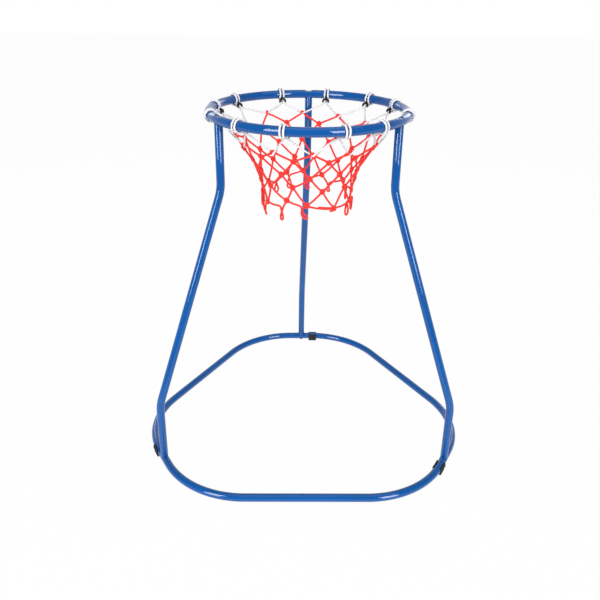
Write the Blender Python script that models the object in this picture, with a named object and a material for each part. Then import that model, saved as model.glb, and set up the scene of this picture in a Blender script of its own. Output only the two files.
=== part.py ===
"""Free-standing floor hoop: a bent tube rim with a knotted net, carried by three bent legs
on a rounded base loop of three plugged tubes.

Metres, +Z up, standing on z = 0. The rear leg is at +Y and the front of the hoop faces -Y.
"""

from math import acos, atan2, cos, hypot, pi, radians, sin, sqrt

import bmesh
import bpy
from mathutils import Matrix, Vector

# Driving dimensions of the frame
RIM_INNER_DIAMETER = 0.457
RIM_TUBE_DIAMETER = 0.022
FRAME_TUBE_DIAMETER = 0.020
TUBE_WALL = 0.0015
RIM_TOP_HEIGHT = 0.900
BASE_BEND_CENTRE = 0.193
BASE_BEND_RADIUS = 0.236
BASE_CORNER_FLAT = 0.064
LEG_UPPER_BEND_DROP = 0.164
LEG_LOWER_BEND_RISE = 0.167
LEG_BEND_RADIUS = 0.120

# Joints of the tubes: a swaged end slides into the next tube beside each leg
SEAT_GAP = 0.0003
SADDLE_GAP = 0.0006
TUBE_JOINT_OFFSET = 0.020
SPIGOT_LENGTH = 0.040
SWAGE_LENGTH = 0.006
SHOULDER_LENGTH = 0.0010
RIM_JOINT_AZIMUTH = radians(30)
RIM_SOCKET_LENGTH = 0.035
RIM_SOCKET_SWELL = 0.0006

# Fasteners: a countersunk bolt down through the rim, a button head bolt up through the base
RIM_BOLT_DIAMETER = 0.008
RIM_BOLT_HEAD_DIAMETER = 0.0150
RIM_BOLT_LENGTH = 0.042
RIM_DIMPLE_DEPTH = 0.0030
RIM_DIMPLE_FLARE = 0.0025
RIM_CUP_WALL = 0.0015
BASE_BOLT_DIAMETER = 0.006
BASE_BOLT_HEAD_DIAMETER = 0.012
BASE_BOLT_HEAD_HEIGHT = 0.0022
BASE_BOLT_LENGTH = 0.044
SOCKET_DIAMETER = 0.004
SOCKET_DEPTH = 0.0015
PLUG_LENGTH = 0.026
PLUG_SETBACK = 0.0015

# Feet: snap-on channels that hug the base tube next to each joint
FOOT_SOLE = 0.003
FOOT_WALL = 0.003
FOOT_LENGTH = 0.027
FOOT_OFFSET = 0.026
FOOT_JAW_ANGLE = radians(45)
FOOT_SOLE_WIDTH = 0.022

# Net hooks: a snap-in pin through the rim's inner wall carries two leaf-shaped horns
HOOK_COUNT = 12
HOOK_TURN = radians(2.2)
HOOK_PIN_ANGLE = radians(206)
HOOK_PIN_DIAMETER = 0.005
HOOK_BARB = 0.0008
HOOK_BARB_LENGTH = 0.003
HOOK_NECK_LENGTH = 0.0055
HOOK_HEAD = 0.0029
HOOK_SPAN = 0.0190
HOOK_DROP = 0.0105
HOOK_LEAN = 0.0025
HORN_WIDTH = 0.0080
HORN_THICKNESS = 0.0046
HORN_TIP = 0.0016
# Where a horn's cross-sections stand, as a share of its length, and their share of its width
HORN_STATIONS = ((0.34, 0.95), (0.55, 1.0), (0.8, 0.72))

# Net: a white cord in bights over the rim, hitched to a knotted red mesh
TOP_CORD_DIAMETER = 0.0042
MESH_CORD_DIAMETER = 0.0040
CORD_GAP = 0.0007
WRAP_GAP = 0.0011
BIGHT_HALF_GAP = 0.0040
BIGHT_PINCH = 0.0015
NET_HITCH_DROP = 0.063
NET_FIRST_KNOT_DROP = 0.085
NET_LAST_KNOT_DROP = 0.207
NET_KNOT_ROWS = 4
NET_MOUTH_RADIUS = 0.113
NET_FLARE = 1.78
NET_SLACK = 0.003
NET_REAR_LIFT = 0.025
HITCH_CORNER = 0.007
LEAN_SHARE = 0.15
HITCH_LEAN = 0.0036
NEIGHBOUR_REACH = 6
KNOT_REACH = 0.0062
KNOT_CLEARANCE = 0.0095
KNOT_SWELL = 1.3
KNOT_HALF_THICKNESS = 0.0045
TEARDROP_CROSSING_DROP = 0.019
TEARDROP_LENGTH = 0.025
TEARDROP_WIDTH = 0.0095
TEARDROP_TURN = radians(8)
TEARDROP_OVERLAP = 0.35
FOLD_SWELL = 1.7

# How finely round shapes are divided
TUBE_SIDES = 12
ROUND_SIDES = 12
TOP_CORD_SIDES = 5
MESH_CORD_SIDES = 4
HORN_SIDES = 6
RIM_STEPS = 60
BORE_STEPS = 30
BORE_SIDES = 8
BEND_STEP = radians(12)
LEG_BEND_STEPS = 4
PIN_SIDES = 8
WRAP_STEPS = 9
NECK_STEPS = 4
BAR_STEPS = 3
FOLD_STEPS = 6
TEARDROP_STEPS = 9

# Sizes that follow from those above
RIM_TUBE_RADIUS = RIM_TUBE_DIAMETER / 2
RIM_RADIUS = RIM_INNER_DIAMETER / 2 + RIM_TUBE_RADIUS
RIM_BORE_RADIUS = RIM_TUBE_RADIUS - TUBE_WALL
RIM_HEIGHT = RIM_TOP_HEIGHT - RIM_TUBE_RADIUS
FRAME_RADIUS = FRAME_TUBE_DIAMETER / 2
FRAME_BORE_RADIUS = FRAME_RADIUS - TUBE_WALL
BASE_HEIGHT = FOOT_SOLE + FRAME_RADIUS + SEAT_GAP
BASE_LEG_RADIUS = BASE_BEND_CENTRE + BASE_BEND_RADIUS
BASE_CORNER_ARC = BASE_BEND_RADIUS * pi / 3
BASE_STRAIGHT = 2 * BASE_BEND_CENTRE * cos(pi / 6) - BASE_CORNER_FLAT * sin(pi / 6)
LEG_RISE = RIM_HEIGHT - BASE_HEIGHT
SPIGOT_RADIUS = FRAME_BORE_RADIUS - SEAT_GAP
SPIGOT_BORE_RADIUS = SPIGOT_RADIUS - TUBE_WALL
FOOT_BORE_RADIUS = FRAME_RADIUS + SEAT_GAP
TOP_CORD_RADIUS = TOP_CORD_DIAMETER / 2
MESH_CORD_RADIUS = MESH_CORD_DIAMETER / 2
WRAP_RADIUS = RIM_TUBE_RADIUS + TOP_CORD_RADIUS + WRAP_GAP
NECK_TURN_RADIUS = HOOK_PIN_DIAMETER / 2 + TOP_CORD_RADIUS + CORD_GAP
HITCH_RADIUS = TOP_CORD_RADIUS + MESH_CORD_RADIUS + CORD_GAP
HOOK_PITCH = 2 * pi / HOOK_COUNT

# Where the real hoop leaves the even pattern: degrees of turn, and metres of drop
LEG_TOP_TURNS = {"rear": -1.5, "front_left": 0.7, "front_right": -2.2}
HOOK_TURNS = {0: 3, 1: -2, 2: -1, 4: 6, 7: 1.5, 8: -1.5, 9: -1, 10: -6}
# How far the cord's bights over the rim have slid along it from their hooks, in metres
BIGHT_SLIDES = {9: 0.008}
HITCH_SHIFTS = {1: (-1, 0.002), 2: (1, 0.0), 3: (1.5, -0.011), 8: (-1, 0.0), 9: (-1.5, 0.002)}
KNOT_SHIFTS = {
    (0, 2): (1, 0.004),
    (0, 3): (2, 0.0),
    (0, 9): (-1, 0.003),
    (0, 10): (-6, 0.0),
    (1, 1): (2, 0.003),
    (1, 2): (3, 0.0),
    (1, 6): (-3, 0.0),
    (1, 8): (-1, 0.007),
    (1, 10): (0, 0.006),
    (2, 1): (3, 0.003),
    (2, 2): (-2, 0.002),
    (2, 3): (-1, -0.006),
    (2, 6): (-6, 0.0),
    (2, 7): (-5, -0.008),
    (2, 8): (-1, 0.003),
    (3, 0): (6, 0.007),
    (3, 1): (2, 0.0),
    (3, 2): (-5, -0.002),
    (3, 5): (-3, 0.008),
    (3, 6): (1, -0.011),
    (3, 7): (-4, -0.002),
    (3, 8): (2, 0.010),
    (3, 9): (5, 0.008),
}
# Of each teardrop: degrees of turn, metres of drop, degrees of lean and length
TEARDROPS = {
    0: (0, 0.008, -10, 0.020),
    2: (-8, 0.005, 0, 0.020),
    4: (-4, 0.004, 35, 0.020),
    5: (2, -0.002, 0, 0.025),
    6: (-1, -0.004, 28, 0.025),
    8: (1, -0.010, 0, 0.023),
    11: (0, 0.008, 0, 0.018),
}
FOLDED_TEARDROP = 7

# The hoop's axis stands off the origin, so that the origin is the middle of the footprint
REAR_REACH = BASE_LEG_RADIUS + FOOT_BORE_RADIUS + FOOT_WALL
FRONT_CENTRE = BASE_BEND_CENTRE / 2 + BASE_CORNER_FLAT / 2 * cos(pi / 6)
FRONT_REACH = FRONT_CENTRE + BASE_BEND_RADIUS + FRAME_RADIUS
AXIS_Y = (FRONT_REACH - REAR_REACH) / 2

CORNERS = {"rear": radians(90), "front_left": radians(210), "front_right": radians(330)}


# Scene, materials and objects


def clear_scene():
    for old in list(bpy.data.objects):
        bpy.data.objects.remove(old, do_unlink=True)


def principled(name, colour, roughness, metallic=0.0):
    made = bpy.data.materials.new(name)
    made.use_nodes = True
    shader = made.node_tree.nodes["Principled BSDF"]
    shader.inputs["Base Color"].default_value = (*colour, 1.0)
    shader.inputs["Roughness"].default_value = roughness
    shader.inputs["Metallic"].default_value = metallic
    made.diffuse_color = (*colour, 1.0)
    return made


def mesh_from(bm, name, finish):
    """Turns a closed bmesh into a smooth shaded mesh with its faces pointing out."""
    bmesh.ops.recalc_face_normals(bm, faces=bm.faces)
    mesh = bpy.data.meshes.new(name)
    bm.to_mesh(mesh)
    bm.free()
    mesh.materials.append(finish)
    mesh.shade_smooth()
    mesh.set_sharp_from_angle(angle=radians(40))
    return mesh


def place(name, mesh, axis, azimuth=0.0, radius=0.0, height=0.0):
    """Stands an object at an azimuth, radius and height about the hoop's axis, its +X outward."""
    made = bpy.data.objects.new(name, mesh)
    bpy.context.scene.collection.objects.link(made)
    made.parent = axis
    made.location = (radius * cos(azimuth), radius * sin(azimuth), height)
    made.rotation_euler = (0.0, 0.0, azimuth)
    return made


def hide_tool(tool):
    tool.hide_render = True
    tool.display_type = "WIRE"


def boolean(target, tool, operation):
    cut = target.modifiers.new(tool.name, "BOOLEAN")
    cut.object = tool
    cut.operation = operation
    cut.solver = "EXACT"


# Rings, skins and knots


def add_ring(bm, centre, across, up, radius, sides):
    ring = []
    for index in range(sides):
        angle = 2 * pi * (index + 0.5) / sides
        ring.append(bm.verts.new(centre + radius * (cos(angle) * across + sin(angle) * up)))
    return ring


def skin(bm, rings, closed=False):
    """Joins rings of the same number of points by four-sided faces."""
    pairs = list(zip(rings, rings[1:]))
    if closed:
        pairs.append((rings[-1], rings[0]))
    for near, far in pairs:
        for index in range(len(near)):
            after = (index + 1) % len(near)
            bm.faces.new((near[index], near[after], far[after], far[index]))


def join_ends(bm, outer, inner):
    """Closes both ends of a tube wall with flat or coped rims between its two skins."""
    skin(bm, (outer[0], inner[0]))
    skin(bm, (outer[-1], inner[-1]))


def carried_frames(points, closed):
    """Across and up directions at each point, carried along the cord so that it doesn't twist."""
    count = len(points)
    tangents = []
    for index in range(count):
        before = points[index - 1] if closed or index else points[0]
        after = points[(index + 1) % count] if closed or index < count - 1 else points[-1]
        tangents.append((after - before).normalized())
    across = tangents[0].orthogonal().normalized()
    frames = []
    for tangent in tangents:
        across = (across - across.dot(tangent) * tangent).normalized()
        frames.append((across, tangent.cross(across)))
    if closed:
        # What the frame has turned by after one lap is shared out along the whole cord.
        carried = (across - across.dot(tangents[0]) * tangents[0]).normalized()
        first_across, first_up = frames[0]
        lap = atan2(carried.dot(first_up), carried.dot(first_across))
        for index, (across, up) in enumerate(frames):
            turn = -lap * index / count
            frames[index] = (
                cos(turn) * across + sin(turn) * up,
                cos(turn) * up - sin(turn) * across,
            )
    return frames


def add_cord(bm, points, radii, sides, closed=False):
    """A round cord through the points, as rings with their skin, open at its ends."""
    frames = carried_frames(points, closed)
    rings = [
        add_ring(bm, point, across, up, radius, sides)
        for point, (across, up), radius in zip(points, frames, radii)
    ]
    skin(bm, rings, closed)
    return rings


def add_knot(bm, rings, crowns):
    """Draws the ends of several cords together into one lump with a crown on each face."""
    extra = [bm.verts.new(point) for point in crowns]
    corners = [vertex for ring in rings for vertex in ring] + extra
    made = bmesh.ops.convex_hull(bm, input=corners, use_existing_faces=False)
    faces = [item for item in made["geom"] if isinstance(item, bmesh.types.BMFace)]
    mouths = [
        face for face in faces if any(all(v in ring for v in face.verts) for ring in rings)
    ]
    bmesh.ops.delete(bm, geom=mouths, context="FACES_ONLY")
    bare = [edge for edge in bm.edges if not edge.link_faces]
    bmesh.ops.delete(bm, geom=bare, context="EDGES")


def turned(profile, sides, closed=False):
    """A shape turned about Z from points of radius and height. One on the axis is a pole."""
    bm = bmesh.new()
    rings = []
    for radius, height in profile:
        centre = Vector((0, 0, height))
        if radius == 0:
            rings.append([bm.verts.new(centre)])
        else:
            rings.append(add_ring(bm, centre, Vector((1, 0, 0)), Vector((0, 1, 0)), radius, sides))
    pairs = list(zip(rings, rings[1:]))
    if closed:
        pairs.append((rings[-1], rings[0]))
    for near, far in pairs:
        for index in range(sides):
            after = (index + 1) % sides
            if len(near) == 1:
                bm.faces.new((near[0], far[after], far[index]))
            elif len(far) == 1:
                bm.faces.new((near[index], near[after], far[0]))
            else:
                bm.faces.new((near[index], near[after], far[after], far[index]))
    return bm


# The base loop, measured along its centreline clockwise from a leg


def base_point(along):
    """Plan point and heading on the loop, clockwise from the rear leg at (0, BASE_LEG_RADIUS)."""
    half_flat = BASE_CORNER_FLAT / 2
    if along <= half_flat:
        return Vector((along, BASE_LEG_RADIUS)), 0.0
    along -= half_flat
    turn = min(along, BASE_CORNER_ARC) / BASE_BEND_RADIUS
    point = Vector((
        half_flat + BASE_BEND_RADIUS * sin(turn),
        BASE_BEND_CENTRE + BASE_BEND_RADIUS * cos(turn),
    ))
    if along <= BASE_CORNER_ARC:
        return point, -turn
    along -= BASE_CORNER_ARC
    heading = Vector((cos(turn), -sin(turn)))
    point += min(along, BASE_STRAIGHT) * heading
    if along <= BASE_STRAIGHT:
        return point, -turn
    # Beyond the straight the loop is the mirror image of what came before it.
    side_middle = base_half_length()
    beyond = along - BASE_STRAIGHT + half_flat + BASE_CORNER_ARC + BASE_STRAIGHT
    mirrored, back_heading = base_point_before(2 * side_middle - beyond)
    return mirrored, back_heading


def base_half_length():
    return BASE_CORNER_FLAT / 2 + BASE_CORNER_ARC + BASE_STRAIGHT / 2


def base_point_before(back):
    """The mirror image, across the middle of the side, of the point this far from the leg."""
    point, heading = base_point(back)
    # The side's middle lies 60 degrees clockwise of the rear leg, which is at azimuth 30.
    normal = Vector((-sin(radians(30)), cos(radians(30))))
    mirrored = point - 2 * point.dot(normal) * normal
    return mirrored, -radians(120) - heading


def base_stations(start, end):
    """Lengths along the loop at which a swept tube needs a ring."""
    half_flat = BASE_CORNER_FLAT / 2
    steps = max(2, round((pi / 3) / BEND_STEP))
    bends = [half_flat + BASE_CORNER_ARC * step / steps for step in range(steps + 1)]
    foot_ends = [FOOT_OFFSET, FOOT_OFFSET + FOOT_LENGTH]
    lap = 2 * base_half_length()
    stations = sorted(bends + foot_ends + [lap - station for station in bends])
    inside = [station for station in stations if start < station < end]
    return [start] + inside + [end]


def base_ring(bm, along, radius):
    point, heading = base_point(along)
    outward = Vector((-sin(heading), cos(heading), 0))
    return add_ring(bm, point.to_3d(), outward, Vector((0, 0, 1)), radius, TUBE_SIDES)


def base_tube_mesh(finish):
    """One bent tube of the base, from beside one leg to beside the next, with its swaged end."""
    bm = bmesh.new()
    shoulder = TUBE_JOINT_OFFSET + SHOULDER_LENGTH
    tip = TUBE_JOINT_OFFSET - SPIGOT_LENGTH
    end = 2 * base_half_length() + TUBE_JOINT_OFFSET - SEAT_GAP
    outer = [base_ring(bm, tip, SPIGOT_RADIUS), base_ring(bm, TUBE_JOINT_OFFSET, SPIGOT_RADIUS)]
    outer += [base_ring(bm, along, FRAME_RADIUS) for along in base_stations(shoulder, end)]
    widened = TUBE_JOINT_OFFSET + SWAGE_LENGTH
    inner = [
        base_ring(bm, tip, SPIGOT_BORE_RADIUS),
        base_ring(bm, TUBE_JOINT_OFFSET, SPIGOT_BORE_RADIUS),
    ]
    inner += [base_ring(bm, along, FRAME_BORE_RADIUS) for along in base_stations(widened, end)]
    skin(bm, outer)
    skin(bm, inner)
    join_ends(bm, outer, inner)
    return mesh_from(bm, "base_tube", finish)


# Legs


def leg_top(corner):
    """Azimuth at which a leg meets the rim."""
    return CORNERS[corner] + radians(LEG_TOP_TURNS[corner])


def leg_set(corner):
    """How far a leg leans in between its ends, and how far it is swung from pointing inward."""
    foot = BASE_LEG_RADIUS * Vector((1, 0))
    turn = radians(LEG_TOP_TURNS[corner])
    reach = RIM_RADIUS * Vector((cos(turn), sin(turn))) - foot
    return reach.length, atan2(-reach.y, -reach.x)


def leg_path(offset):
    """Centreline of a leg in its own plane, from the base loop up to the rim."""
    lean = atan2(offset, LEG_RISE - LEG_UPPER_BEND_DROP - LEG_LOWER_BEND_RISE)
    setback = LEG_BEND_RADIUS * (1 - cos(lean)) / sin(lean)
    steps = LEG_BEND_STEPS
    low_centre = Vector((-LEG_BEND_RADIUS, LEG_LOWER_BEND_RISE - setback))
    high_centre = Vector((-offset + LEG_BEND_RADIUS, LEG_RISE - LEG_UPPER_BEND_DROP + setback))
    points = []
    for step in range(steps + 1):
        turn = lean * step / steps
        points.append((low_centre + LEG_BEND_RADIUS * Vector((cos(turn), sin(turn))), turn))
    for step in range(steps + 1):
        turn = lean * (1 - step / steps)
        points.append((high_centre - LEG_BEND_RADIUS * Vector((cos(turn), sin(turn))), turn))
    return points


def saddle_on_base(x, y, swing):
    """Height at which the leg's end meets the base tube, square to the unswung leg."""
    off_centre = x * cos(swing) - y * sin(swing)
    return sqrt((FRAME_RADIUS + SADDLE_GAP) ** 2 - off_centre**2)


def saddle_under_rim(x, y, swing):
    """Height at which the leg's end meets the underside of the ring."""
    axis = BASE_LEG_RADIUS * Vector((-cos(swing), sin(swing)))
    off_centre = (Vector((x, y)) - axis).length - RIM_RADIUS
    return LEG_RISE - sqrt((RIM_TUBE_RADIUS + SADDLE_GAP) ** 2 - off_centre**2)


def leg_skin(bm, radius, offset, swing):
    side = Vector((0, 1, 0))
    bottom = add_ring(bm, Vector((0, 0, 0)), Vector((1, 0, 0)), side, radius, TUBE_SIDES)
    for vertex in bottom:
        vertex.co.z = saddle_on_base(vertex.co.x, vertex.co.y, swing)
    rings = [bottom]
    for point, turn in leg_path(offset):
        across = Vector((cos(turn), 0, sin(turn)))
        centre = Vector((point.x, 0, point.y))
        rings.append(add_ring(bm, centre, across, side, radius, TUBE_SIDES))
    top = add_ring(bm, Vector((-offset, 0, 0)), Vector((1, 0, 0)), side, radius, TUBE_SIDES)
    for vertex in top:
        vertex.co.z = saddle_under_rim(vertex.co.x, vertex.co.y, swing)
    rings.append(top)
    skin(bm, rings)
    return rings


def leg_mesh(finish, corner):
    """A bent tube with both ends coped to saddle the tubes that they meet."""
    bm = bmesh.new()
    outer = leg_skin(bm, FRAME_RADIUS, *leg_set(corner))
    inner = leg_skin(bm, FRAME_BORE_RADIUS, *leg_set(corner))
    join_ends(bm, outer, inner)
    return mesh_from(bm, "leg", finish)


# Rim


def rim_stations():
    """Azimuth and tube radius round the rim, clockwise from its swelled socket's mouth."""
    swelled = RIM_TUBE_RADIUS + RIM_SOCKET_SWELL
    socket_end = RIM_SOCKET_LENGTH / RIM_RADIUS
    taper_end = (RIM_SOCKET_LENGTH + SWAGE_LENGTH) / RIM_RADIUS
    stations = [(0.0, RIM_TUBE_RADIUS), (SHOULDER_LENGTH / RIM_RADIUS, swelled)]
    stations.append((socket_end, swelled))
    stations.append((taper_end, RIM_TUBE_RADIUS))
    for step in range(1, RIM_STEPS):
        turn = 2 * pi * step / RIM_STEPS
        if turn < socket_end:
            stations.append((turn, swelled))
        elif turn > taper_end:
            stations.append((turn, RIM_TUBE_RADIUS))
    return [(RIM_JOINT_AZIMUTH - turn, radius) for turn, radius in sorted(stations)]


def ring_of_tube(stations, sides):
    bm = bmesh.new()
    rings = []
    for azimuth, radius in stations:
        outward = Vector((cos(azimuth), sin(azimuth), 0))
        rings.append(
            add_ring(bm, RIM_RADIUS * outward, outward, Vector((0, 0, 1)), radius, sides)
        )
    skin(bm, rings, closed=True)
    return bm


def rim_bolt_levels():
    """Heights, from the rim's centreline, of the head's top and of the foot of its cone."""
    head_top = RIM_TUBE_RADIUS - RIM_DIMPLE_DEPTH
    cone_foot = head_top - (RIM_BOLT_HEAD_DIAMETER - RIM_BOLT_DIAMETER) / 2
    return head_top, cone_foot


def join_tools(name, meshes, axis, finish):
    """One helper object out of several meshes, each already in its place about the axis."""
    bm = bmesh.new()
    for mesh, matrix in meshes:
        part = bmesh.new()
        part.from_mesh(mesh)
        part.transform(matrix)
        spare = bpy.data.meshes.new(name + "_part")
        part.to_mesh(spare)
        part.free()
        bm.from_mesh(spare)
    tool = place(name, mesh_from(bm, name, finish), axis, height=RIM_HEIGHT)
    hide_tool(tool)
    return tool


def make_rim(axis, finish):
    """The ring, hollow, with a pressed cup over each leg and a hole for each net hook."""
    rim = place("rim", mesh_from(ring_of_tube(rim_stations(), TUBE_SIDES), "rim", finish), axis)
    rim.location.z = RIM_HEIGHT
    head_top, cone_foot = rim_bolt_levels()
    head_radius = RIM_BOLT_HEAD_DIAMETER / 2 + SEAT_GAP
    hole_radius = RIM_BOLT_DIAMETER / 2 + SEAT_GAP
    cup = turned(
        [
            (0, RIM_TUBE_RADIUS),
            (head_radius + RIM_CUP_WALL + RIM_DIMPLE_FLARE, RIM_TUBE_RADIUS),
            (head_radius + RIM_CUP_WALL, head_top),
            (hole_radius + RIM_CUP_WALL, cone_foot - RIM_CUP_WALL),
            (0, cone_foot - RIM_CUP_WALL),
        ],
        ROUND_SIDES,
    )
    dimple = turned(
        [
            (0, RIM_TUBE_DIAMETER),
            (head_radius + RIM_DIMPLE_FLARE, RIM_TUBE_DIAMETER),
            (head_radius + RIM_DIMPLE_FLARE, RIM_TUBE_RADIUS + SEAT_GAP),
            (head_radius, head_top),
            (hole_radius, cone_foot),
            (hole_radius, -RIM_TUBE_DIAMETER),
            (0, -RIM_TUBE_DIAMETER),
        ],
        ROUND_SIDES,
    )
    pin_hole_radius = HOOK_PIN_DIAMETER / 2 + SEAT_GAP
    hook_hole = turned(
        [
            (0, RIM_TUBE_RADIUS - 3 * TUBE_WALL),
            (pin_hole_radius, RIM_TUBE_RADIUS - 3 * TUBE_WALL),
            (pin_hole_radius, RIM_TUBE_DIAMETER),
            (0, RIM_TUBE_DIAMETER),
        ],
        PIN_SIDES,
    )
    cup_mesh = mesh_from(cup, "rim_cup", finish)
    dimple_mesh = mesh_from(dimple, "rim_dimple", finish)
    hole_mesh = mesh_from(hook_hole, "hook_hole", finish)
    at_legs = [about_axis(leg_top(corner)) for corner in CORNERS]
    at_hooks = [about_axis(azimuth) @ pin_direction() for azimuth in hook_azimuths()]
    cups = join_tools("rim_cups", [(cup_mesh, matrix) for matrix in at_legs], axis, finish)
    bore_stations = [
        (2 * pi * step / BORE_STEPS, RIM_BORE_RADIUS) for step in range(BORE_STEPS)
    ]
    bore_mesh = mesh_from(ring_of_tube(bore_stations, BORE_SIDES), "rim_bore", finish)
    bore = place("rim_bore", bore_mesh, axis, height=RIM_HEIGHT)
    hide_tool(bore)
    boolean(bore, cups, "DIFFERENCE")
    holes = join_tools(
        "rim_holes",
        [(dimple_mesh, matrix) for matrix in at_legs] + [(hole_mesh, matrix) for matrix in at_hooks],
        axis,
        finish,
    )
    boolean(rim, bore, "DIFFERENCE")
    boolean(rim, holes, "DIFFERENCE")
    return rim


def about_axis(azimuth):
    """Turns about the hoop's axis, at the centreline of the rim's tube."""
    return Matrix.Rotation(azimuth, 4, "Z") @ Matrix.Translation((RIM_RADIUS, 0, 0))


def pin_direction():
    """Turns +Z to the way a net hook's pin leaves the rim, inward and down."""
    return Matrix.Rotation(pi / 2 - HOOK_PIN_ANGLE, 4, "Y")


def even_azimuth(index):
    """Azimuth of a hook, or between two hooks, in the even pattern round the rim."""
    return HOOK_PITCH * (index + 0.5) + HOOK_TURN


def hook_azimuths():
    """Azimuths of the hooks, and of their holes in the rim."""
    return [
        even_azimuth(index) + radians(HOOK_TURNS.get(index, 0)) for index in range(HOOK_COUNT)
    ]


# Bolts and the threaded plugs that they pull into the legs


def rim_bolt_mesh(finish):
    head_top, cone_foot = rim_bolt_levels()
    tip = head_top - RIM_BOLT_LENGTH
    profile = [
        (0, head_top - SOCKET_DEPTH),
        (SOCKET_DIAMETER / 2, head_top - SOCKET_DEPTH),
        (SOCKET_DIAMETER / 2, head_top),
        (RIM_BOLT_HEAD_DIAMETER / 2, head_top),
        (RIM_BOLT_DIAMETER / 2, cone_foot),
        (RIM_BOLT_DIAMETER / 2, tip),
        (0, tip),
    ]
    return mesh_from(turned(profile, ROUND_SIDES), "rim_bolt", finish)


def base_bolt_mesh(finish):
    """A low button head below the base tube, its shank up through both tubes and the plug."""
    seat = -FRAME_RADIUS - SEAT_GAP
    crown = seat - BASE_BOLT_HEAD_HEIGHT
    tip = seat + BASE_BOLT_LENGTH
    head_radius = BASE_BOLT_HEAD_DIAMETER / 2
    profile = [
        (0, crown + SOCKET_DEPTH),
        (SOCKET_DIAMETER / 2, crown + SOCKET_DEPTH),
        (SOCKET_DIAMETER / 2, crown),
        (head_radius - BASE_BOLT_HEAD_HEIGHT, crown),
        (head_radius, seat - BASE_BOLT_HEAD_HEIGHT / 4),
        (head_radius, seat),
        (BASE_BOLT_DIAMETER / 2, seat),
        (BASE_BOLT_DIAMETER / 2, tip),
        (0, tip),
    ]
    return mesh_from(turned(profile, ROUND_SIDES), "base_bolt", finish)


def plug_mesh(bolt_diameter, finish):
    outer = FRAME_BORE_RADIUS - SEAT_GAP
    bore = bolt_diameter / 2 + SEAT_GAP
    profile = [(bore, 0), (outer, 0), (outer, PLUG_LENGTH), (bore, PLUG_LENGTH)]
    return mesh_from(turned(profile, ROUND_SIDES, closed=True), "plug", finish)


def base_hole_tool(finish):
    """Cuts the bolt's holes at both ends of a base tube, one through its swaged end."""
    bm = bmesh.new()
    lap_turn = -2 * pi / len(CORNERS)
    for turn in (0.0, lap_turn):
        hole = turned(
            [
                (0, -FRAME_TUBE_DIAMETER),
                (BASE_BOLT_DIAMETER / 2 + SEAT_GAP, -FRAME_TUBE_DIAMETER),
                (BASE_BOLT_DIAMETER / 2 + SEAT_GAP, FRAME_TUBE_DIAMETER),
                (0, FRAME_TUBE_DIAMETER),
            ],
            ROUND_SIDES,
        )
        hole.transform(
            Matrix.Rotation(turn, 4, "Z") @ Matrix.Translation((0, BASE_LEG_RADIUS, 0))
        )
        spare = bpy.data.meshes.new("base_hole")
        hole.to_mesh(spare)
        hole.free()
        bm.from_mesh(spare)
    return mesh_from(bm, "base_holes", finish)


# Feet


def foot_section():
    """Outline of the foot across the tube: outward and up from the tube's centreline."""
    facets = round((pi + 2 * FOOT_JAW_ANGLE) / (2 * pi / TUBE_SIDES))
    bore = []
    shell = []
    outer_radius = FOOT_BORE_RADIUS + FOOT_WALL
    sole = FOOT_BORE_RADIUS + FOOT_SOLE
    for index in range(facets + 1):
        angle = FOOT_JAW_ANGLE - (pi + 2 * FOOT_JAW_ANGLE) * index / facets
        bore.append((FOOT_BORE_RADIUS * cos(angle), FOOT_BORE_RADIUS * sin(angle)))
        if outer_radius * sin(angle) > -outer_radius * sin(pi / 4) - SEAT_GAP:
            shell.append((outer_radius * cos(angle), outer_radius * sin(angle)))
    half = len(shell) // 2
    corners = [(FOOT_SOLE_WIDTH / 2, -sole), (-FOOT_SOLE_WIDTH / 2, -sole)]
    return bore + list(reversed(shell[:half] + corners + shell[half:]))


def foot_mesh(finish):
    """A rubber channel swept along the loop, over the end of the flat and into the bend."""
    bm = bmesh.new()
    rings = []
    for along in base_stations(FOOT_OFFSET, FOOT_OFFSET + FOOT_LENGTH):
        point, heading = base_point(along)
        outward = Vector((-sin(heading), cos(heading), 0))
        ring = []
        for across, up in foot_section():
            ring.append(bm.verts.new(point.to_3d() + across * outward + Vector((0, 0, up))))
        rings.append(ring)
    skin(bm, rings)
    bm.faces.new(rings[0])
    bm.faces.new(rings[-1])
    bmesh.ops.triangulate(bm, faces=[face for face in bm.faces if len(face.verts) > 4])
    return mesh_from(bm, "foot", finish)


# Net hooks


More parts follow.
